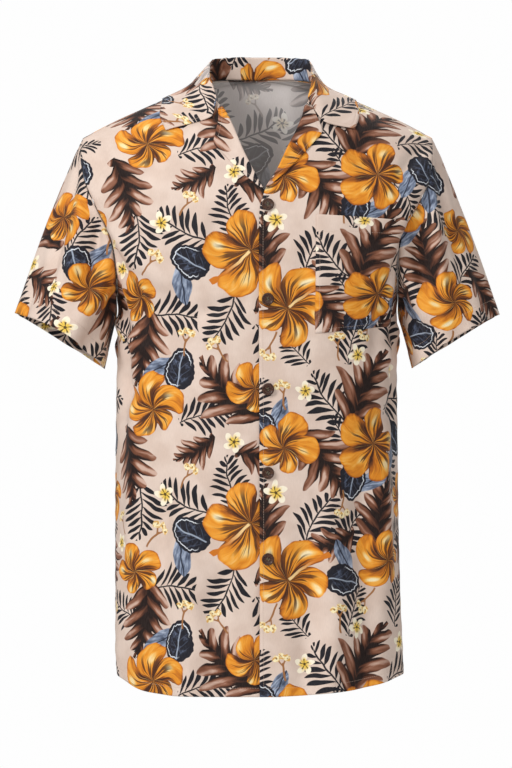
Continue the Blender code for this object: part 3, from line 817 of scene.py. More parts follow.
@dataclass
class Sleeve:
    """A short sleeve, a tube from the armhole to the cuff."""

    side: Side
    plan: Cut
    step: float = 3.1 * MM
    bulge: float = 0.5 * MM
    band: float = 20 * MM

    def ring(self, turn: np.ndarray) -> np.ndarray:
        """Gives the armhole seam: underarm, up the back, over the tip and down the front."""
        ups = np.linspace(UNDERARM, 1, 160)
        halves = []
        for face in (Face.BACK, Face.FRONT):
            line = Half(face, self.side).side_points(ups)
            run = running(line)
            share = 1 - np.abs(turn) / math.pi
            halves.append(read_line(line, run, share * run[-1]))
        return np.where((turn < 0)[:, None], halves[0], halves[1])

    def sheet(self) -> Sheet:
        """Lays the sleeve's cloth, creased."""
        sign = self.side.sign
        turn = np.linspace(-math.pi, math.pi, 2 * round(0.25 / self.step) + 1)
        ring = self.ring(turn)
        cuff = CUFFS[self.side]
        top = np.array([sign * cuff.top_x, 0, cuff.top_z]) * MM
        under = np.array([sign * cuff.under_x, 0, cuff.under_z]) * MM
        across = unit(top - under)
        along = np.array([-across[2], 0, across[0]]) * sign
        half = np.linalg.norm(top - under) / 2
        mouth = (
            (top + under) / 2
            + np.cos(turn)[:, None] * across * half
            + np.sin(turn)[:, None] * np.array([0, -CUFF_HALF_DEPTH, 0])
            + (np.sin(turn).clip(0) ** 2)[:, None] * along * cuff.rise * MM
        )
        shares = 1 - np.linspace(0, 1, round(0.235 / self.step) + 1)
        swell = np.sin(math.pi * shares)[:, None, None] * (0.5 + 0.5 * np.cos(turn))[:, None]
        points = (
            ring * (1 - shares)[:, None, None] + mouth * shares[:, None, None]
            + swell * np.array([sign, 0, 0.3]) * self.bulge
        )
        points[-1] += unit(points[-2] - points[-1]) * SEAM_GAP
        middle = len(turn) // 2
        axis = unit(ring.mean(axis=0) - mouth.mean(axis=0))
        down = points @ axis
        run = running(points - down[..., None] * axis, axis=1)
        cloth = np.stack([-sign * (run - run[:, middle:middle + 1]), down], axis=-1)
        edge = running(points, axis=0) + HEM_STITCH - self.band
        sheet = Sheet(points, cloth, edge)
        self.crease(sheet, turn)
        return sheet

    def crease(self, sheet: Sheet, turn: np.ndarray) -> None:
        """Presses the creases, the armhole seam and the cuff's hem into the sheet."""
        phase = 1.1 if self.side is Side.LEFT else 3.4
        from_cuff = running(sheet.points, axis=0)
        to_armhole = from_cuff[-1:] - from_cuff
        front = np.stack([-self.side.sign * sheet.cloth[..., 0], -to_armhole], axis=-1)
        lift = 0.9 * ripple(sheet.cloth, phase)
        for number, crease in enumerate(SLEEVE_CREASES):
            gain = 1.0 if self.side is Side.LEFT else 0.8 + 0.3 * (number % 2)
            lift = lift + gain * CREASE_GAIN * crease.height(front)
        under = ease((math.pi - np.abs(turn)) / 0.16)[None, :]
        lift = lift * ease(to_armhole / (20 * MM)) * under
        lift = lift - 1.1 * MM * bell(to_armhole, 3.6 * MM)
        lift = lift - 0.7 * MM * bell(math.pi - np.abs(turn), 0.04)[None, :]
        pucker = np.sin(np.cumsum(np.ones_like(turn)) * self.step / (2.6 * MM))[None, :]
        lift = lift + 0.35 * MM * pucker * bell(to_armhole, 6 * MM, 8 * MM)
        lift = lift + hem_band(from_cuff, self.band)
        outward = sheet.outward
        outward[:, 0] = outward[:, -1] = unit(outward[:, 0] + outward[:, -1])
        sheet.points = sheet.points + outward * lift[..., None]
        sheet.points[:, -1] = sheet.points[:, 0]
        sheet.outward = sheet.normals()

    def build(self, name: str, cloth: "Dress") -> Piece:
        """Makes the sleeve under the name given."""
        return lay(name, [self.plan.of(self.sheet())], cloth.sides(), closed=True)


@dataclass
class Collar:
    """The one-piece collar, standing at the back of the neck and folded over."""

    body: Body
    steps: int = 20                # columns from one section to the next
    rows: int = 34
    stand_lift: float = 1.2 * MM
    thickness: float = 1.0 * MM

    def seat(self, section: Section, part: str) -> tuple[float, float, float]:
        """Gives where a part of a section lies on the body: signed share, height and lift."""
        x, z, lift = (value * MM for value in getattr(section, part))
        side = Side.RIGHT if x > 0 else Side.LEFT
        if section.face is Face.SEAM:
            tip = column(EDGES, side.value, 1.0)
            reach = "over" if x > 0 else "under"
            start = abs(column(FRONT_EDGES, reach, 1.0))
            return math.copysign((abs(x) - start) / (tip - start), x), 1.0, lift
        share, up = Half(section.face, side).find(x, z)
        return math.copysign(share, x), up, lift

    def stretch(self, sections: Sequence[Section]) -> dict[str, np.ndarray]:
        """Gives the rails of sections that lie on the same face of the body."""
        face = next(one.face for one in sections if one.face is not Face.SEAM)
        wanted = np.linspace(0, len(sections) - 1, (len(sections) - 1) * self.steps + 1)
        rails = {}
        for part in ("waist", "edge"):
            seats = np.array([self.seat(section, part) for section in sections])
            share, up, lift = smooth_line(seats, wanted).T
            places = [
                self.body.sheets[Half(face, side)].on(np.abs(share), up, lift)
                for side in (Side.LEFT, Side.RIGHT)]
            rails[part] = np.where((share > 0)[:, None], places[1], places[0])
        return rails

    def through(self, places: np.ndarray) -> np.ndarray:
        """Gives a smooth rail through one place for each section."""
        count = len(places)
        wanted = np.linspace(0, count - 1, (count - 1) * self.steps + 1)
        return smooth_line(places, wanted)

    def sheet(self) -> Sheet:
        """Lays the collar, from the leaf's edge up over the fold and down to the seam."""
        middle = len(COLLAR) // 2
        sewn = []
        for number, section in enumerate(COLLAR):
            face = Face.BACK if section.face is Face.BACK else Face.FRONT
            half = Half(face, Side.RIGHT if number > middle else Side.LEFT)
            sewn.append(half.middle_points(np.array([section.seam]))[0]
                        + np.array([0, 0, self.stand_lift]))
        rails = {
            "seam": self.through(np.array(sewn)),
            "fold": self.through(np.array([section.fold for section in COLLAR]) * MM),
        }
        seams = [n for n, section in enumerate(COLLAR) if section.face is Face.SEAM]
        pieces = [
            self.stretch(COLLAR[first:last + 1])
            for first, last in zip([0, *seams], [*seams, len(COLLAR) - 1])]
        for part in ("waist", "edge"):
            rails[part] = np.vstack(
                [pieces[0][part]] + [piece[part][1:] for piece in pieces[1:]])
        stack = np.stack([rails[part] for part in ("edge", "waist", "fold", "seam")])
        along = np.linspace(0, 3, self.rows)
        points = self.even(np.stack(
            [smooth_line(stack[:, n], along) for n in range(stack.shape[1])], axis=1))
        centre = points.shape[1] // 2
        run = running(points, axis=1)
        across = -(run - run[:, centre:centre + 1])
        cloth = np.stack([across, running(points, axis=0)], axis=-1)
        from_edge = running(points, axis=0)
        from_end = np.minimum(run, run[:, -1:] - run)
        edge = np.minimum(from_edge, from_end) + HEM_STITCH - STITCH_IN
        sheet = Sheet(points, cloth, edge)
        roll = bell(from_edge, 2.4 * MM, 2.2 * MM)
        sheet.lift(0.25 * ripple(cloth, 5.2) - 0.3 * MM * roll)
        return sheet

    @staticmethod
    def even(points: np.ndarray) -> np.ndarray:
        """Gives each cross line of the collar at equal lengths."""
        count = len(points)
        even = []
        for line in points.transpose(1, 0, 2):
            run = running(line)
            even.append(read_line(line, run, np.linspace(0, run[-1], count)))
        return np.stack(even, axis=1)

    def build(self, cloth: "Dress") -> Piece:
        """Makes the collar, a double thickness of cloth."""
        return lay("collar_fold", [Cut.COLLAR.of(self.sheet())], cloth.sides(),
                   thickness=self.thickness)


@dataclass
class Lapel:
    """A front facing turned out over its front, with a soft roll."""

    body: Body
    half: Half
    plan: Cut
    rows: int = 76
    columns: int = 16
    lift: float = 2.0 * MM
    roll: float = 2.6 * MM
    roll_reach: float = 9 * MM
    thickness: float = 1.0 * MM

    def sheet(self) -> Sheet:
        """Lays the lapel from round the roll line out to its edge."""
        side = "right" if self.half is FRONT_LEFT else "left"
        ups = np.linspace(LAPEL_ROWS[0].up, LAPEL_ROWS[-1].up, self.rows)
        reach = column(LAPEL_ROWS, side, ups)
        base = self.body.sheets[self.half]
        lines = self.half.rows([0, 1], ups)
        lengths = np.array([
            running(self.half.rows(np.linspace(0, 1, 40), [up])[0])[-1] for up in ups])
        shares = np.linspace(0, 1, self.columns)[None, :] * (reach / lengths)[:, None]
        lie = np.broadcast_to(ups[:, None], shares.shape)
        out = shares * lengths[:, None]
        open_up = ease((ups - ups[0]) / 0.025)[:, None]
        lift = self.lift + self.roll * open_up * np.exp(-out / self.roll_reach)
        points = base.on(shares, lie, lift)
        edge = base.on(np.zeros_like(ups), ups, np.zeros_like(ups))
        top = points[:, 0]
        outward = unit(top - edge)
        away = unit((lines[:, 0] - lines[:, 1]) * np.array([1, 0, 0]))
        curl = []
        radius = np.linalg.norm(top - edge, axis=1, keepdims=True) / 2
        for angle in np.radians([-80, -45, -10, 25, 60]):
            curl.append((edge + top) / 2
                        + radius * (math.cos(angle) * away + math.sin(angle) * outward))
        points = np.concatenate([np.stack(curl, axis=1), points], axis=1)
        run = running(points, axis=1)
        cloth = np.stack(
            [self.half.side.sign * run,
             np.broadcast_to(running(points[:, 6])[:, None], run.shape)], axis=-1)
        to_edge = run[:, -1:] - run
        stitched = to_edge + HEM_STITCH - STITCH_IN
        sheet = Sheet(points, cloth, stitched)
        tuck = bell(to_edge, 2.2 * MM, 2.0 * MM)
        sheet.lift(0.2 * ripple(cloth, 6.1) - 0.25 * MM * tuck * ease(run / (8 * MM)))
        return sheet

    def build(self, name: str, cloth: "Dress") -> Piece:
        """Makes the lapel under the name given."""
        return lay(name, [self.plan.of(self.sheet())], cloth.sides(), thickness=self.thickness)


@dataclass
class Pocket:
    """The patch pocket on the wearer's left front, sewn on three sides."""

    body: Body
    left: float = 70 * MM
    right: float = 190 * MM
    top: float = 0.806
    bottom: float = 0.6
    columns: int = 49
    rows: int = 61
    lift: float = 1.9 * MM
    gape: float = 1.6 * MM
    hem: float = 22 * MM

    def sheet(self) -> Sheet:
        """Lays the pocket on the creased front, its open top standing a little off."""
        ups = np.linspace(self.bottom, self.top, self.rows)
        across = np.linspace(self.left, self.right, self.columns)
        lengths = np.array([
            running(FRONT_LEFT.rows(np.linspace(0, 1, 60), [up])[0])[-1] for up in ups])
        shares = across[None, :] / lengths[:, None]
        lie = np.broadcast_to(ups[:, None], shares.shape)
        side = np.minimum(across - self.left, self.right - across)[None, :]
        from_foot = (ups - self.bottom)[:, None] * SHOULDER_RUN
        from_top = (self.top - ups)[:, None] * SHOULDER_RUN
        sewn = np.minimum(side, from_foot)
        rise = 0.45 + 0.55 * ease(sewn / (5 * MM))
        lift = self.lift * rise
        lift = lift + self.gape * ease(side / (45 * MM)) * ease(1 - from_top / (40 * MM))
        points = self.body.sheets[FRONT_LEFT].on(shares, lie, lift)
        cloth = np.stack(
            [np.broadcast_to(across[None, :], shares.shape),
             np.broadcast_to((ups[:, None] - self.top) * SHOULDER_RUN, shares.shape)], axis=-1)
        edge = np.minimum(
            sewn + HEM_STITCH - STITCH_IN, from_top + HEM_STITCH - self.hem - 2 * MM)
        edge = np.where(from_top < sewn, from_top + HEM_STITCH - self.hem, edge)
        return Sheet(points, cloth, edge)

    def build(self, cloth: "Dress") -> Piece:
        """Makes the pocket."""
        return lay("patch_pocket", [Cut.POCKET.of(self.sheet())], cloth.sides())


# ------------------------------------------------------------------ maths in shader nodes

Number = Union[float, "Field"]


def add(tree: Tree, kind: str, **settings: object) -> bpy.types.Node:
    """Adds a shader node of a kind to a tree, with its settings."""
    node = tree.nodes.new("ShaderNode" + kind)
    for name, value in settings.items():
        setattr(node, name, value)
    return node


def settle(node: bpy.types.Node, values: dict[str, object]) -> None:
    """Feeds values or sockets to a node's inputs by their names."""
    for name, value in values.items():
        feed(node.id_data, value, node.inputs[name])


class Field:
    """A number over the cloth; its operators add the shader nodes that work it out."""

    def __init__(self, tree: Tree, socket: Socket) -> None:
        """Keeps the socket that gives the number."""
        self.tree, self.socket = tree, socket

    def via(self, operation: str, *others: Number) -> "Field":
        """Gives the result of a Math node on this number and others."""
        node = add(self.tree, "Math", operation=operation)
        for slot, value in zip(node.inputs, (self, *others)):
            feed(self.tree, value, slot)
        return Field(self.tree, node.outputs[0])

    def __add__(self, other: Number) -> "Field":
        """Adds."""
        return self.via("ADD", other)

    def __sub__(self, other: Number) -> "Field":
        """Subtracts."""
        return self.via("SUBTRACT", other)

    def __mul__(self, other: Number) -> "Field":
        """Multiplies."""
        return self.via("MULTIPLY", other)

    def __truediv__(self, other: Number) -> "Field":
        """Divides."""
        return self.via("DIVIDE", other)

    def __pow__(self, other: Number) -> "Field":
        """Raises to a power."""
        return self.via("POWER", other)

    def __abs__(self) -> "Field":
        """Drops the sign."""
        return self.via("ABSOLUTE")

    def flip(self) -> "Field":
        """Gives one less this number."""
        node = add(self.tree, "Math", operation="SUBTRACT")
        node.inputs[0].default_value = 1.0
        feed(self.tree, self, node.inputs[1])
        return Field(self.tree, node.outputs[0])

    def times(self, factor: Number, offset: Number) -> "Field":
        """Multiplies and adds in one node."""
        return self.via("MULTIPLY_ADD", factor, offset)

    def ramp(self, low: Number, high: Number, to_low: float = 0.0,
             to_high: float = 1.0) -> "Field":
        """Gives a soft step from one value to another as this number goes low to high."""
        node = add(self.tree, "MapRange", interpolation_type="SMOOTHSTEP")
        for slot, value in zip(node.inputs, (self, low, high, to_low, to_high)):
            feed(self.tree, value, slot)
        return Field(self.tree, node.outputs[0])


def feed(tree: Tree, value: object, slot: Socket) -> None:
    """Links a field or a socket to a node's input, or sets the constant there."""
    if isinstance(value, Field):
        tree.links.new(value.socket, slot)
    elif isinstance(value, Socket):
        tree.links.new(value, slot)
    else:
        slot.default_value = value


def tint(red: int, green: int, blue: int) -> tuple[float, float, float, float]:
    """Gives a colour named in everyday 0 to 255 steps as the shader's linear one."""
    parts = [
        value / 255 / 12.92 if value <= 10 else ((value / 255 + 0.055) / 1.055) ** 2.4
        for value in (red, green, blue)]
    return (*parts, 1.0)


@dataclass
class Sketch:
    """A node tree that a pattern is being drawn in, with the nodes that it uses most."""

    tree: Tree

    def mix(self, factor: Number, low: object, high: object, kind: str = "RGBA") -> Socket:
        """Mixes two colours or two vectors.

        Args:
            factor: How much of the second there is.
            low: The first.
            high: The second.
            kind: RGBA or VECTOR.

        Returns:
            The socket of the mixture.
        """
        node = add(self.tree, "Mix", data_type=kind)
        first, out = (6, 2) if kind == "RGBA" else (4, 1)
        feed(self.tree, factor, node.inputs[0])
        feed(self.tree, low, node.inputs[first])
        feed(self.tree, high, node.inputs[first + 1])
        return node.outputs[out]

    def point(self, x: Number, y: Number) -> Socket:
        """Joins two numbers to a flat vector."""
        node = add(self.tree, "CombineXYZ")
        feed(self.tree, x, node.inputs[0])
        feed(self.tree, y, node.inputs[1])
        return node.outputs[0]

    def parts(self, vector: Socket) -> list[Field]:
        """Splits a vector into its numbers."""
        node = add(self.tree, "SeparateXYZ")
        self.tree.links.new(vector, node.inputs[0])
        return [Field(self.tree, slot) for slot in node.outputs]

    def vector(self, operation: str, *values: object, out: str = "Vector") -> Socket:
        """Gives the result of a Vector Math node."""
        node = add(self.tree, "VectorMath", operation=operation)
        for slot, value in zip(node.inputs, values):
            feed(self.tree, value, slot)
        return node.outputs[out]

    def noise(self, x: Number, y: Number, detail: float = 2.0, swirl: float = 0.0,
              rough: float = 0.5) -> Field:
        """Gives soft flat noise from 0 to 1 at two numbers."""
        node = add(self.tree, "TexNoise", noise_dimensions="2D")
        settle(node, {"Vector": self.point(x, y), "Scale": 1.0, "Detail": detail,
                      "Roughness": rough, "Distortion": swirl})
        return Field(self.tree, node.outputs[0])

    def chances(self, seed: Number) -> list[Field]:
        """Gives three numbers from 0 to 1 that change with the seed."""
        node = add(self.tree, "TexWhiteNoise", noise_dimensions="1D")
        feed(self.tree, seed, node.inputs["W"])
        return self.parts(node.outputs["Color"])

    def shades(self, tone: Number, *stops: tuple[float, int, int, int]) -> Socket:
        """Gives a colour from a ramp of stops, each a place from 0 to 1 and a colour."""
        node = add(self.tree, "ValToRGB")
        ramp = node.color_ramp
        while len(ramp.elements) < len(stops):
            ramp.elements.new(1.0)
        for element, (place, *colour) in zip(ramp.elements, stops):
            element.position = place
            element.color = tint(*colour)
        feed(self.tree, tone, node.inputs[0])
        return node.outputs[0]

    def bump(self, height: Field, distance: float, strength: float) -> Socket:
        """Gives the normal of a fine relief."""
        node = add(self.tree, "Bump")
        settle(node, {"Height": height, "Distance": distance, "Strength": strength})
        return node.outputs[0]


def started(name: str) -> tuple[Material, Sketch, bpy.types.Node]:
    """Starts a material, and gives it with its sketch and its shader."""
    material = bpy.data.materials.new(name)
    material.use_nodes = True
    tree = material.node_tree
    return material, Sketch(tree), tree.nodes["Principled BSDF"]


def grouped(name: str, takes: dict[str, str], gives: dict[str, str]) -> tuple[
        Tree, bpy.types.Node, bpy.types.Node]:
    """Starts a node group with sockets of the types named.

    Args:
        name: The group's name.
        takes: Its inputs and their types.
        gives: Its outputs and their types.

    Returns:
        The group, its input node and its output node.
    """
    tree = bpy.data.node_groups.new(name, "ShaderNodeTree")
    for way, sockets in (("INPUT", takes), ("OUTPUT", gives)):
        for label, kind in sockets.items():
            tree.interface.new_socket(label, in_out=way, socket_type="NodeSocket" + kind)
    return tree, tree.nodes.new("NodeGroupInput"), tree.nodes.new("NodeGroupOutput")


# ------------------------------------------------------------------ the figured print

TILE = (480.0, 335.0)          # the print repeats across and up after these millimetres


class Figure(NamedTuple):
    """One figure's place in the print: where it is, how it is turned, and its size."""

    x: float
    y: float
    turn: float
    size: float


BLOOMS = [
    Figure(191, 135, 227, 60), Figure(277, 64, 41, 57), Figure(40, 74, 100, 37),
    Figure(63, 274, 80, 46), Figure(196, 300, 30, 41), Figure(408, 87, 150, 41),
    Figure(389, 232, 200, 49), Figure(271, 227, 60, 43), Figure(458, 168, 300, 34),
]
SPLIT_LEAVES = [
    Figure(54, 16, -98, 50), Figure(36, 208, -76, 50), Figure(162, 294, 138, 54),
    Figure(122, 222, -150, 30), Figure(397, 152, 82, 46), Figure(376, 302, 62, 56),
    Figure(322, 212, -52, 50), Figure(246, 140, 96, 42), Figure(465, 84, -70, 38),
    Figure(206, 214, -20, 34), Figure(334, 108, 200, 34), Figure(222, 74, 20, 30),
]
FRONDS = [
    Figure(52, 148, -92, 37), Figure(98, 56, -4, 40), Figure(160, 48, -118, 37),
    Figure(134, 268, 10, 34), Figure(312, 142, 58, 37), Figure(360, 28, 70, 34),
    Figure(325, 286, 126, 40), Figure(447, 286, 12, 36), Figure(236, 284, 80, 32),
    Figure(432, 40, 78, 34), Figure(232, 198, -60, 32),
]
MORE_FRONDS = [
    Figure(106, 158, 152, 40), Figure(58, 322, -70, 32), Figure(164, 184, 104, 34),
    Figure(356, 124, 58, 36), Figure(284, 14, 126, 28),
    Figure(428, 200, -60, 33), Figure(218, 14, -62, 36), Figure(444, 120, 30, 34),
    Figure(346, 240, 126, 30), Figure(16, 26, 150, 30),
]
LEAF_PAIRS = [
    Figure(116, 121, 150, 27), Figure(102, 324, 78, 27), Figure(348, 64, -8, 26),
    Figure(360, 186, -100, 25), Figure(450, 240, 120, 25), Figure(246, 250, -60, 24),
]
STARS = [
    Figure(80, 169, 10, 15), Figure(170, 234, 40, 14), Figure(262, 172, 0, 16),
    Figure(367, 6, 20, 14), Figure(298, 296, 65, 13.5), Figure(228, 215, 30, 12),
    Figure(440, 322, 0, 14), Figure(14, 110, 30, 12),
]
SPRAYS = [
    Figure(67, 119, 55, 17), Figure(110, 22, 85, 17), Figure(112, 192, 60, 16),
    Figure(152, 12, 130, 17), Figure(256, 18, -110, 18), Figure(383, 40, -125, 17),
    Figure(345, 158, -92, 16), Figure(271, 292, 100, 17), Figure(340, 352, 95, 17),
    Figure(18, 134, 120, 15), Figure(470, 20, 70, 16),
]

INK = tint(24, 26, 33)


@dataclass
class FiguredPrint:
    """A floral print: blooms, split leaves, palm fronds, round leaves and small flowers.

    It is one shader node group. Its input is a place in the printed cloth, in metres, and
    its output is the colour there.
    """

    name: str = "figured_print"
    wobble: float = 1.8            # how unsteady the drawing hand is, in millimetres
    partner_turn: float = math.radians(-128)

    def group(self) -> Tree:
        """Draws the print once, and gives its node group."""
        found = bpy.data.node_groups.get(self.name)
        if found:
            return found
        tree, entry, leave = grouped(self.name, {"Cloth": "Vector"}, {"Colour": "Color"})
        draw = Sketch(tree)
        place = draw.vector("SCALE", entry.outputs["Cloth"])
        place.node.inputs["Scale"].default_value = 1 / MM
        noise = add(tree, "TexNoise", noise_dimensions="2D")
        settle(noise, {"Vector": place, "Scale": 0.06, "Detail": 0.6})
        sway = self.wobble
        shift = draw.vector(
            "MULTIPLY_ADD", noise.outputs["Color"], (2 * sway, 2 * sway, 0), (-sway, -sway, 0))
        place = draw.vector("ADD", place, shift)
        colour = self.ground(draw, place)
        place = draw.vector("WRAP", place, (TILE[0], TILE[1], 1.0), (0, 0, -1.0))
        for fronds in (FRONDS, MORE_FRONDS):
            colour = self.fronds(draw, place, colour, fronds)
        for layer in (self.split_leaves, self.leaf_pairs, self.sprays, self.blooms, self.stars):
            colour = layer(draw, place, colour)
        settle(leave, {"Colour": colour})
        return tree

    def ground(self, draw: Sketch, place: Socket) -> Socket:
        """Gives the plain ground with its faint clouding."""
        x, y, _ = draw.parts(place)
        cloud = draw.noise(x * 0.028, y * 0.028, detail=2.0)
        return draw.mix(cloud.ramp(0.3, 0.7), tint(216, 193, 178), tint(226, 205, 191))

    def pick(self, draw: Sketch, place: Socket, figures: Sequence[Figure],
             reach: float) -> tuple[Field, Field, Field]:
        """Finds the figure that a place belongs to, and its place within that figure.

        Args:
            draw: The sketch.
            place: A place in the repeat, in millimetres.
            figures: The figures' places.
            reach: How far a figure reaches, in its own sizes.

        Returns:
            Across and up in the figure's own directions and sizes, and a seed.
        """
        wide, tall = TILE
        chosen: object = (-900.0, -900.0, 40000.0)
        for spot in figures:
            far = spot.size * reach
            for across in (-wide, 0.0, wide):
                for up in (-tall, 0.0, tall):
                    x, y = spot.x + across, spot.y + up
                    if not (-far < x < wide + far and -far < y < tall + far):
                        continue
                    away = Field(draw.tree, draw.vector(
                        "DISTANCE", place, (x, y, 0.0), out="Value"))
                    packed = 1000.0 * round(2 * spot.size) + spot.turn % 360
                    chosen = draw.mix(
                        away.via("LESS_THAN", far), chosen, (x, y, packed), kind="VECTOR")
        packed = draw.parts(chosen)[2]
        size = (packed / 1000.0).via("FLOOR")
        turn = (packed - size * 1000.0) * (-math.pi / 180)
        spin = add(draw.tree, "VectorRotate", rotation_type="Z_AXIS")
        settle(spin, {"Vector": draw.vector("SUBTRACT", place, chosen), "Angle": turn})
        x, y, _ = draw.parts(spin.outputs[0])
        half = size * 0.5
        return x / half, y / half, packed * 0.01

    def blooms(self, draw: Sketch, place: Socket, below: Socket) -> Socket:
        """Draws the large orange blooms, each with five broad petals and a long stamen."""
        x, y, seed = self.pick(draw, place, BLOOMS, 1.06)
        reach = (x * x + y * y) ** 0.5
        turn = y.via("ARCTAN2", x) * (5 / math.tau)
        bent = reach.times(0.42, turn) + (reach * 3.1 + seed).via("SINE") * 0.13
        petal = bent.via("FLOORED_MODULO", 5.0)
        number = petal.via("FLOOR")
        across = petal - number
        long, pale, lean = draw.chances(number + seed)
        rim = abs(across.times(2.0, -1.0))
        wave = draw.noise(bent * 2.2 + seed, reach * 1.5, detail=2.0)
        limit = (rim ** 3.0).times(-0.36, 0.76) + long * 0.22 + wave * 0.16 - 0.06
        limit = (limit + (x / reach.via("MAXIMUM", 0.01)) * 0.12).via("MAXIMUM", 0.44)
        mask = (limit - reach).ramp(-0.004, 0.02)
        streak = draw.noise(bent * 5.0 + seed, reach * 1.3, detail=3.0, swirl=0.5, rough=0.62)
        side = (across - lean * 0.34 - 0.36) * reach * 1.5
        out = reach - pale * 0.2 - 0.5
        spot = ((side * side) * 1.8 + out * out) ** 0.5
        light = (spot + streak * 0.12).ramp(0.3, 0.1) * (pale * 0.6 + 0.5)
        fold = across.ramp(0.4, 0.02) * (long * 0.5 + 0.6) + across.ramp(0.88, 1.0) * 0.8
        edge = (limit - reach).ramp(0.09, 0.0)
        heart = reach.ramp(0.62, 0.04)
        tone = streak.times(0.8, 0.14) + light * 0.44
        tone = tone - fold * 0.36 * (reach.ramp(1.0, 0.3) + 0.3) - edge * 0.22 - heart * 0.16
        colour = draw.shades(
            tone, (0.0, 66, 36, 22), (0.14, 120, 66, 28), (0.3, 184, 104, 30), (0.46, 226, 140, 36),
            (0.62, 240, 164, 58), (0.8, 246, 200, 116), (1.0, 250, 232, 186))
        fine = draw.noise(bent * 9.5 + seed, reach * 0.8, detail=1.5, swirl=0.3)
        strokes = (fine - reach * 0.3).ramp(0.37, 0.46) * reach.ramp(0.86, 0.5)
        colour = draw.mix(strokes * 0.88, colour, tint(68, 38, 26))
        gold = (fine + reach * 0.2).ramp(0.38, 0.3) * reach.ramp(0.7, 0.1)
        colour = draw.mix(gold * 0.75, colour, tint(246, 196, 112))
        below = draw.mix(mask, below, colour)
        grand = seed.ramp(1060.0, 1110.0)
        swung = (x * x).times(0.14, y)
        stalk = abs(swung).ramp(0.036, 0.02) * abs(x - 0.56).ramp(0.54, 0.5)
        knob = (((x - 0.98) / 0.13) ** 2.0 + (swung / 0.07) ** 2.0 + streak * 0.9).ramp(1.6, 1.3)
        colour = draw.mix(x.ramp(0.1, 0.8), tint(250, 214, 150), tint(206, 118, 34))
        return draw.mix((stalk.via("MAXIMUM", knob)) * grand, below, colour)

    def comb(self, draw: Sketch, x: Field, y: Field, seed: Field, count: float, lean: float,
             curve: float) -> tuple[Field, Field, Field, list[Field]]:
        """Splits a leaf into leaflets that sweep forward from its rib.

        Args:
            draw: The sketch.
            x: Along the rib, from -1 to 1.
            y: Across the leaf.
            seed: A number of the leaf's own.
            count: Leaflets on each side.
            lean: How far a leaflet goes forward for each length outwards.
            curve: How much it bends back.

        Returns:
            The distance from the rib, the share along the rib at which the leaflet starts,
            the place across the leaflet from 0 to 1, and three chances.
        """
        bent = (x * x).times(0.16, y)
        away, side = abs(bent), bent.via("SIGN")
        start = x * 0.5 + 0.5 - away * lean + (away * away) * curve
        cell = start * count + side * 0.25
        number = cell.via("FLOOR")
        chances = draw.chances(number + side * 20.0 + seed)
        return away, number / count, cell - number, chances

    def fronds(self, draw: Sketch, place: Socket, below: Socket,
               figures: Sequence[Figure]) -> Socket:
        """Draws the black palm fronds."""
        x, y, seed = self.pick(draw, place, figures, 1.0)
        away, start, across, chances = self.comb(draw, x, y, seed, 8.0, 0.52, 0.3)
        size = (start * -1.0 + 0.9).via("MAXIMUM", 0.0) ** 0.62 * start.ramp(-0.26, 0.2)
        size = size * (chances[0] * 0.22 + 0.84)
        share = away / size.via("MAXIMUM", 0.01)
        lens = (share * share.flip()).via("MAXIMUM", 0.0) ** 0.8
        side = abs(across - 0.5 + (chances[1] - 0.5) * 0.3)
        leaflet = (lens * (chances[2] * 0.3 + 0.96) - side).ramp(0.0, 0.06)
        rib = away.ramp(0.036, 0.016) * abs(x + 0.1).ramp(0.94, 0.86)
        return draw.mix(leaflet.via("MAXIMUM", rib), below, INK)

    def split_leaves(self, draw: Sketch, place: Socket, below: Socket) -> Socket:
        """Draws the brown split leaves, with pale stripes on their fingers."""
        x, y, seed = self.pick(draw, place, SPLIT_LEAVES, 1.04)
        away, start, across, chances = self.comb(draw, x, y, seed, 5.0, 0.56, 0.26)
        size = (start * -1.35 + 1.2).via("MINIMUM", 0.9).via("MAXIMUM", 0.0)
        size = size * start.ramp(-0.34, 0.12) * (chances[0] * 0.24 + 0.78)
        share = away / size.via("MAXIMUM", 0.01)
        finger = (share ** 3.0).flip().via("MAXIMUM", 0.0) ** 0.5 * 0.64
        finger = finger - share.ramp(0.1, 0.75) * (chances[1] * 0.12 + 0.1)
        mask = (finger - abs(across - 0.5)).ramp(0.0, 0.06) * share.ramp(1.01, 0.97)
        streak = draw.noise(across * 2.2 + start * 15.0, away * 2.6 + seed, detail=3.0, swirl=0.7)
        stripe = abs(across - chances[1] * 0.4 - 0.3).ramp(0.24, 0.02) * share.ramp(0.1, 0.45)
        stripe = stripe * (chances[2] * 0.7 + 0.4)
        tone = streak * 0.8 + stripe * 0.44 - abs(across - 0.5).ramp(0.2, 0.46) * 0.46
        tone = tone - away.ramp(0.26, 0.0) * 0.34 + (chances[2] - 0.5) * 0.16
        colour = draw.shades(
            tone, (0.0, 30, 18, 16), (0.14, 66, 38, 28), (0.32, 112, 68, 48), (0.54, 146, 98, 76),
            (0.84, 208, 174, 156))
        return draw.mix(mask, below, colour)

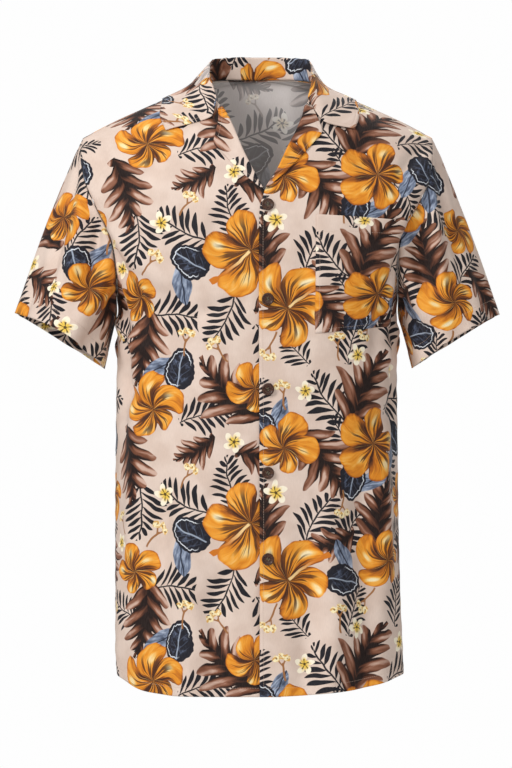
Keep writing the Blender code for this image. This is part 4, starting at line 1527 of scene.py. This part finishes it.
    def leaf_pairs(self, draw: Sketch, place: Socket, below: Socket) -> Socket:
        """Draws a slim grey-blue leaf and a round navy one with a white line inside."""
        x, y, seed = self.pick(draw, place, LEAF_PAIRS, 2.15)
        cosine, sine = math.cos(self.partner_turn), math.sin(self.partner_turn)
        along = (x + 0.2) * cosine + (y - 1.05) * (-sine)
        aside = (x + 0.2) * sine + (y - 1.05) * cosine
        slim = (along * along).flip().via("MAXIMUM", 0.0) ** 0.8 * 0.44
        mask = (slim - abs(aside)).ramp(0.0, 0.03)
        streak = draw.noise(along * 2.0 + seed, aside * 7.0 + along * 2.0, detail=2.5)
        tone = streak + abs(aside).ramp(0.05, 0.0) * -0.5 + along.ramp(0.3, -1.0) * 0.12
        grey = draw.shades(
            tone, (0.1, 38, 44, 58), (0.34, 76, 86, 106), (0.54, 122, 134, 156),
            (0.8, 184, 194, 212))
        below = draw.mix(mask, below, grey)
        reach = (x * x + (y * y) * (x.ramp(-0.6, 1.0) * 0.9 + 1.5)) ** 0.5
        turn = y.via("ARCTAN2", x)
        ragged = draw.noise(turn * 3.4 + seed, 0.5, detail=2.0)
        scallop = (turn * 17.0).via("SINE") * 0.018 + ragged * 0.08 - 0.04
        limit = reach + scallop
        mask = limit.ramp(1.0, 0.975)
        vein = (abs(y) * 1.1 - x).via("PINGPONG", 0.2)
        lines = draw.noise(x * 3.0 + seed, y * 3.0, detail=3.0, rough=0.6)
        glow = vein.ramp(0.05, 0.0) * 0.34 + lines.ramp(0.46, 0.8) * 0.8
        glow = glow * limit.ramp(0.8, 0.5)
        navy = draw.mix(glow, tint(27, 29, 39), tint(104, 116, 142))
        rib = (abs(y + (x * x) * 0.08) - 0.014).ramp(0.03, 0.0) * limit.ramp(0.86, 0.8)
        navy = draw.mix(rib * 0.75, navy, tint(176, 188, 206))
        inner = abs(limit + ragged * 0.16 - 0.88).ramp(0.038, 0.012)
        inner = inner * (turn + seed).via("SINE").ramp(-0.7, -0.3)
        navy = draw.mix(inner, navy, tint(226, 230, 236))
        return draw.mix(mask, below, navy)

    def stars(self, draw: Sketch, place: Socket, below: Socket) -> Socket:
        """Draws the small cream flowers, yellow inside with a dark star."""
        x, y, seed = self.pick(draw, place, STARS, 1.08)
        reach = (x * x + y * y) ** 0.5
        turn = y.via("ARCTAN2", x).times(5 / math.tau, 10.0) + reach * 0.22
        across = turn.via("FRACT")
        rim = abs(across.times(2.0, -1.0))
        limit = (rim ** 1.7).times(-0.62, 1.0)
        mask = (limit - reach).ramp(0.0, 0.06)
        streak = draw.noise(turn * 2.0 + seed, reach * 2.0, detail=2.0)
        warm = (reach + streak * 0.5).ramp(0.95, 0.5)
        colour = draw.mix(warm, tint(250, 240, 216), tint(242, 204, 84))
        colour = draw.mix(rim.ramp(0.62, 1.0) * 0.5, colour, tint(196, 150, 84))
        star = rim.ramp(0.34, 0.16) * reach.ramp(0.52, 0.42) + reach.ramp(0.16, 0.1)
        colour = draw.mix(star.via("MINIMUM", 1.0) * 0.9, colour, tint(44, 30, 24))
        return draw.mix(mask, below, colour)

    def sprays(self, draw: Sketch, place: Socket, below: Socket) -> Socket:
        """Draws the bud sprays: a thin branching stem with three pale buds."""
        x, y, seed = self.pick(draw, place, SPRAYS, 1.15)
        fold = abs(y)
        stem = abs(y + (x * 2.6).via("SINE") * 0.07).ramp(0.085, 0.05) * x.ramp(0.34, 0.28)
        branch = abs(fold - x * 0.55 + 0.04).ramp(0.08, 0.045)
        branch = branch * x.ramp(0.02, 0.08) * x.ramp(0.6, 0.52)
        stalk = (stem + branch) * abs(x + 0.1).ramp(1.0, 0.9)
        colour = draw.mix(stalk.via("MINIMUM", 1.0), below, tint(158, 108, 66))
        grain = draw.noise(x * 5.0 + seed, y * 5.0, detail=1.0)
        where = draw.point(x, fold)
        outer = Field(draw.tree, draw.vector("DISTANCE", where, (0.66, 0.4, 0), out="Value"))
        tip = Field(draw.tree, draw.vector("DISTANCE", where, (0.86, 0.0, 0), out="Value"))
        bud = outer.via("MINIMUM", tip) + grain * 0.16
        petal = draw.mix(grain.ramp(0.3, 0.6), tint(214, 164, 88), tint(250, 236, 190))
        petal = draw.mix(bud.ramp(0.16, 0.1) * 0.8, petal, tint(92, 62, 30))
        return draw.mix(bud.ramp(0.36, 0.31), colour, petal)


@dataclass
class Weave:
    """The fine plain weave: a height that both sides of the cloth share."""

    name: str = "fine_weave"
    yarns: float = 0.5 * MM        # two yarns, side by side
    stitch: float = 3.1 * MM

    def group(self) -> Tree:
        """Makes the weave once, and gives its node group."""
        found = bpy.data.node_groups.get(self.name)
        if found:
            return found
        tree, entry, leave = grouped(
            self.name, {"Cloth": "Vector", "Edge": "Float"},
            {"Height": "Float", "Stitch": "Float", "Slub": "Float"})
        draw = Sketch(tree)
        x, y, _ = draw.parts(entry.outputs["Cloth"])
        yarn = math.tau / self.yarns
        threads = (x * yarn).via("SINE") * (y * yarn).via("SINE")
        slub = draw.noise(x * 900.0, y * 160.0, detail=2.0)
        edge = Field(tree, entry.outputs["Edge"])
        off = abs(edge - HEM_STITCH)
        dash = ((x + y) * (math.tau / self.stitch)).via("SINE").ramp(-0.75, -0.35)
        thread = off.ramp(0.42 * MM, 0.2 * MM) * dash
        groove = off.ramp(1.2 * MM, 0.1 * MM)
        height = threads.times(0.05, slub * 0.25) + thread * 0.5 - groove * 1.1
        settle(leave, {"Height": height, "Stitch": thread, "Slub": slub})
        return tree


@dataclass(frozen=True)
class ClothFinish:
    """One side of the printed cloth."""

    name: str
    fade: float                    # how much of the print the wrong side hides
    veil: tuple[float, float, float, float]
    roughness: float = 0.62
    sheen: float = 0.05

    def material(self) -> Material:
        """Makes the material."""
        material, draw, shader = started(self.name)
        tree = draw.tree
        where = add(tree, "UVMap", uv_map="cloth").outputs[0]
        hem = add(tree, "Attribute", attribute_name="edge").outputs["Fac"]
        figures = add(tree, "Group", node_tree=FiguredPrint().group())
        weave = add(tree, "Group", node_tree=Weave().group())
        settle(figures, {"Cloth": where})
        settle(weave, {"Cloth": where, "Edge": hem})
        grey = add(tree, "HueSaturation")
        settle(grey, {"Saturation": 1 - self.fade, "Color": figures.outputs["Colour"]})
        colour = draw.mix(0.66 * self.fade, grey.outputs[0], self.veil)
        turned = Field(tree, hem).ramp(HEM_STITCH - 0.3 * MM, HEM_STITCH)
        colour = draw.mix(turned, figures.outputs["Colour"], colour)
        slub = Field(tree, weave.outputs["Slub"])
        colour = draw.mix(slub.ramp(0.2, 0.8, 0.07, 0.0), colour, tint(120, 100, 90))
        stitch = Field(tree, weave.outputs["Stitch"])
        settle(shader, {
            "Base Color": draw.mix(stitch * 0.45, colour, tint(196, 170, 152)),
            "Normal": draw.bump(Field(tree, weave.outputs["Height"]), 0.4 * MM, 0.35),
            "Roughness": slub.ramp(0.2, 0.8, self.roughness - 0.06, self.roughness + 0.06),
            "Sheen Weight": self.sheen, "Sheen Roughness": 0.5, "Specular IOR Level": 0.15})
        return material


@dataclass
class Dress:
    """The materials of the cloth's two sides."""

    right: ClothFinish = ClothFinish("printed_cloth_right_side", 0.0, tint(214, 200, 192))
    wrong: ClothFinish = ClothFinish("printed_cloth_wrong_side", 0.6, tint(236, 230, 228))
    made: list[Material] = field(default_factory=list)

    def sides(self) -> list[Material]:
        """Gives the right side's and the wrong side's materials, made on first use."""
        if not self.made:
            self.made = [self.right.material(), self.wrong.material()]
        return self.made


# ------------------------------------------------------------------ buttons


@dataclass(frozen=True)
class ButtonFinish:
    """Dark brown mottled shell, polished on its rim."""

    name: str = "brown_button_shell"
    roughness: float = 0.44

    def material(self) -> Material:
        """Makes the material."""
        material, draw, shader = started(self.name)
        x, _, z = draw.parts(add(draw.tree, "TexCoord").outputs["Object"])
        blotch = draw.noise(x * 520.0 + z * 300.0, z * 900.0, detail=3.0, swirl=0.8)
        vein = draw.noise(x * 1500.0, z * 700.0 + x * 500.0, detail=2.0)
        colour = draw.shades(
            blotch * 0.7 + vein * 0.4, (0.26, 26, 14, 11), (0.5, 52, 29, 20),
            (0.66, 86, 53, 36), (0.86, 140, 112, 82))
        settle(shader, {
            "Base Color": colour, "Normal": draw.bump(vein, 0.2 * MM, 0.25),
            "Roughness": blotch.ramp(0.3, 0.7, self.roughness - 0.08, self.roughness + 0.14),
            "Specular IOR Level": 0.3, "Coat Weight": 0.12, "Coat Roughness": 0.12})
        return material


@dataclass(frozen=True)
class ThreadFinish:
    """Twisted sewing thread, with painted shade darkening the grooves of its twist."""

    name: str = "sewing_thread"

    def material(self) -> Material:
        """Makes the material."""
        material, draw, shader = started(self.name)
        x, _, z = draw.parts(add(draw.tree, "TexCoord").outputs["Object"])
        twist_relief_and_shade = ((x + z) * (math.tau / (0.5 * MM))).via("SINE")
        settle(shader, {
            # Painted shade: the colour darkens where the twist's relief sinks, on top of the bump.
            "Base Color": draw.mix(
                twist_relief_and_shade.ramp(-1.0, 1.0), tint(104, 100, 78), tint(164, 158, 130)),
            "Normal": draw.bump(twist_relief_and_shade, 0.1 * MM, 1.0), "Roughness": 0.8})
        return material


@dataclass
class Buttons:
    """Five four-hole buttons down the lap, sewn on with crossed stitches."""

    body: Body
    inset: float = 12 * MM
    heights: tuple[float, ...] = (-144 * MM, -260 * MM, -371 * MM, -474 * MM, -580 * MM)
    radius: float = 7.6 * MM
    thick: float = 2.8 * MM
    lift: float = 0.9 * MM
    hole: float = 0.85 * MM
    hole_circle: float = 1.75 * MM
    steps: int = 48

    def disc(self) -> Mesh:
        """Turns a button with a rounded rim and a sunk middle, and cuts its holes."""
        radius, thick = self.radius, self.thick
        profile = [
            (0.0, 0.0), (0.72, 0.0), (0.9, 0.06), (0.97, 0.2), (1.0, 0.42), (1.0, 0.62),
            (0.97, 0.82), (0.91, 0.96), (0.84, 1.0), (0.77, 0.96), (0.71, 0.84), (0.66, 0.7),
            (0.58, 0.64), (0.3, 0.62), (0.0, 0.62),
        ]
        shape = bmesh.new()
        corners = [shape.verts.new((x * radius, 0, z * thick)) for x, z in profile]
        for one, two in zip(corners, corners[1:]):
            shape.edges.new((one, two))
        bmesh.ops.spin(
            shape, geom=list(shape.verts) + list(shape.edges), cent=(0, 0, 0), axis=(0, 0, 1),
            angle=math.tau, steps=self.steps, use_merge=True, use_duplicate=False)
        bmesh.ops.remove_doubles(shape, verts=shape.verts, dist=0.01 * MM)
        bmesh.ops.recalc_face_normals(shape, faces=shape.faces)
        disc = shown("button_disc", meshed("button_disc", shape))
        rods = shown("button_rods", self.rods())
        cut = disc.modifiers.new("holes", "BOOLEAN")
        cut.operation, cut.solver, cut.object = "DIFFERENCE", "EXACT", rods
        bpy.context.view_layer.update()
        seen = disc.evaluated_get(bpy.context.evaluated_depsgraph_get())
        drilled = bpy.data.meshes.new_from_object(seen)
        for thing in (disc, rods):
            bpy.data.objects.remove(thing, do_unlink=True)
        drilled.materials.clear()
        return drilled

    def spots(self) -> list[tuple[float, float]]:
        """Gives the holes' places on the button."""
        angles = [math.radians(25 + 90 * quarter) for quarter in range(4)]
        return [(self.hole_circle * math.cos(a), self.hole_circle * math.sin(a))
                for a in angles]

    def rods(self) -> Mesh:
        """Makes the rods that cut the holes."""
        shape = bmesh.new()
        for x, y in self.spots():
            bmesh.ops.create_cone(
                shape, cap_ends=True, segments=16, radius1=self.hole, radius2=self.hole,
                depth=4 * self.thick, matrix=Matrix.Translation((x, y, self.thick / 2)))
        return meshed("button_rods", shape)

    def stitches(self) -> bmesh.types.BMesh:
        """Makes two pairs of threads that go over the middle from hole to hole."""
        shape = bmesh.new()
        spots = self.spots()
        for first, second in ((0, 1), (3, 2)):
            one, two = Vector((*spots[first], 0)), Vector((*spots[second], 0))
            across = (two - one).normalized().cross(Vector((0, 0, 1)))
            for side in (-1, 0, 1):
                made = bmesh.ops.create_icosphere(shape, subdivisions=2, radius=1.0)["verts"]
                middle = (one + two) / 2 + across * side * 0.3 * MM
                long = (two - one).length / 2 + 0.35 * MM
                turn = Vector((1, 0, 0)).rotation_difference((two - one).normalized())
                place = (
                    Matrix.Translation(middle + Vector((0, 0, 0.62 * self.thick)))
                    @ turn.to_matrix().to_4x4()
                    @ Matrix.Diagonal((long, 0.24 * MM, 0.5 * MM, 1)))
                bmesh.ops.transform(shape, matrix=place, verts=made)
        return shape

    def build(self) -> list[tuple[Piece, str]]:
        """Makes the buttons and their threads.

        Returns:
            Each piece with the name of the solid that it stands for, or none.
        """
        shell, thread = ButtonFinish().material(), ThreadFinish().material()
        disc = self.disc()
        sheet = self.body.sheets[FRONT_LEFT]
        pieces = []
        for number, height in enumerate(self.heights, start=1):
            share, up = FRONT_LEFT.find(self.inset, height)
            seat = Vector(sheet.on(np.array([share]), np.array([up]), self.lift)[0])
            rough = Vector(sheet.on(np.array([share]), np.array([up]), self.lift + MM)[0])
            turn = (rough - seat).to_track_quat("Z", "Y").to_matrix().to_4x4()
            tilt = Matrix.Rotation(math.radians(17 * number), 4, "Z")
            place = Matrix.Translation(seat) @ turn @ tilt
            mesh = disc.copy()
            mesh.transform(place)
            mesh.shade_smooth()
            mesh.set_sharp_from_angle(angle=math.radians(38))
            pieces.append((shown(f"shell_button_{number}", mesh, shell), f"button_{number}"))
            threads = meshed(f"button_thread_{number}", self.stitches())
            threads.transform(place)
            threads.shade_smooth()
            pieces.append((shown(f"button_thread_{number}", threads, thread), ""))
        return pieces


# ------------------------------------------------------------------ the studio


@dataclass
class Studio:
    """A pale floor well below the shirt, soft light and the camera."""

    floor_z: float = -1.5
    floor_radius: float = 2.6
    distance: float = 14.0
    target: tuple[float, float, float] = (-0.0025, 0.0, -0.3646)
    frame_height: float = 0.952
    sky: float = 0.37

    def build(self) -> None:
        """Sets the floor, the light and the camera up."""
        shape = bmesh.new()
        bmesh.ops.create_circle(
            shape, cap_ends=True, segments=96, radius=self.floor_radius,
            matrix=Matrix.Translation((0, 0, self.floor_z)))
        material, _, shader = started("pale_floor")
        settle(shader, {"Base Color": (0.86, 0.86, 0.86, 1), "Roughness": 0.9})
        floor = shown("studio_floor", meshed("studio_floor", shape), material)
        self.light("key_light", (-2.1, -2.6, 1.6), 1.4, 84)
        self.light("fill_light", (0.5, -3.4, 0.8), 2.0, 26)
        self.light("top_light", (0.0, 0.4, 2.4), 1.8, 22)
        self.light("back_light", (0.4, 3.0, 1.0), 2.6, 40)
        self.world()
        self.camera()

    def light(self, name: str, place: tuple[float, float, float], size: float,
              power: float) -> None:
        """Adds a soft square light that faces the shirt."""
        data = bpy.data.lights.new(name, "AREA")
        data.size = size
        data.energy = power
        lamp = bpy.data.objects.new(name, data)
        bpy.context.collection.objects.link(lamp)
        lamp.location = place
        aim = Vector(self.target) - Vector(place)
        lamp.rotation_euler = aim.to_track_quat("-Z", "Y").to_euler()

    def world(self) -> None:
        """Makes a white surround that lights the shirt less than it shows."""
        world = bpy.data.worlds.new("studio")
        bpy.context.scene.world = world
        world.use_nodes = True
        tree = world.node_tree
        seen = Field(tree, add(tree, "LightPath").outputs["Is Camera Ray"])
        settle(tree.nodes["Background"], {
            "Color": (1, 1, 1, 1), "Strength": seen.ramp(0.0, 1.0, self.sky, 0.99)})

    def camera(self) -> None:
        """Sets the camera up level with the shirt's middle."""
        data = bpy.data.cameras.new("camera")
        eye = bpy.data.objects.new("camera", data)
        bpy.context.collection.objects.link(eye)
        x, y, z = self.target
        eye.location = (x, y - self.distance, z)
        eye.rotation_euler = (math.pi / 2, 0, 0)
        data.sensor_fit = "VERTICAL"
        data.sensor_height = 36.0
        data.lens = 36.0 * self.distance / self.frame_height
        data.clip_end = 50
        bpy.context.scene.camera = eye
        bpy.context.scene.view_settings.view_transform = "Standard"


# ------------------------------------------------------------------ putting it together


class FlatCut(NamedTuple):
    """A piece's solid, its cut laid flat in metres, the cut's area, and how it is held."""

    solid: str
    size: tuple[float, float]
    area: Optional[float]
    held: str


FLAT_CUTS = {
    "left_front": FlatCut("front_left", (0.31, 0.80), 0.205, "hung"),
    "right_front": FlatCut("front_right", (0.33, 0.80), 0.215, "hung"),
    "back_panel": FlatCut("back", (0.56, 0.83), 0.40, "hung"),
    "left_sleeve": FlatCut("sleeve_left", (0.52, 0.25), 0.065, "hung"),
    "right_sleeve": FlatCut("sleeve_right", (0.52, 0.25), 0.065, "hung"),
    "collar_fold": FlatCut("collar", (0.47, 0.10), 0.038, "folded"),
    "left_lapel": FlatCut("lapel_left", (0.036, 0.13), 0.0028, "folded"),
    "right_lapel": FlatCut("lapel_right", (0.036, 0.13), 0.0028, "folded"),
    "patch_pocket": FlatCut("chest_pocket", (0.12, 0.16), None, "hung"),
}


def declare(piece: Piece, solid: str) -> None:
    """Rides a piece on the shirt, and hides the solid that it stands for."""
    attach(piece, "root")
    if solid:
        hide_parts(solid)
    LOG.info("built %s", piece.name)


def main() -> None:
    """Builds the shirt and the studio, in order."""
    logging.basicConfig(level=logging.INFO, format="%(name)s: %(message)s")
    Studio().build()
    cloth = Dress()
    body = Body()
    pieces = body.build(cloth)
    pieces.append(Sleeve(Side.RIGHT, Cut.SLEEVE_LEFT).build("left_sleeve", cloth))
    pieces.append(Sleeve(Side.LEFT, Cut.SLEEVE_RIGHT).build("right_sleeve", cloth))
    pieces.append(Collar(body).build(cloth))
    pieces.append(Lapel(body, FRONT_LEFT, Cut.LAPEL_LEFT).build("left_lapel", cloth))
    pieces.append(Lapel(body, FRONT_RIGHT, Cut.LAPEL_RIGHT).build("right_lapel", cloth))
    pieces.append(Pocket(body).build(cloth))
    for piece in pieces:
        cut = FLAT_CUTS[piece.name]
        declare(piece, cut.solid)
    for piece, solid in Buttons(body).build():
        declare(piece, solid)


if __name__ == "__main__":
    main()
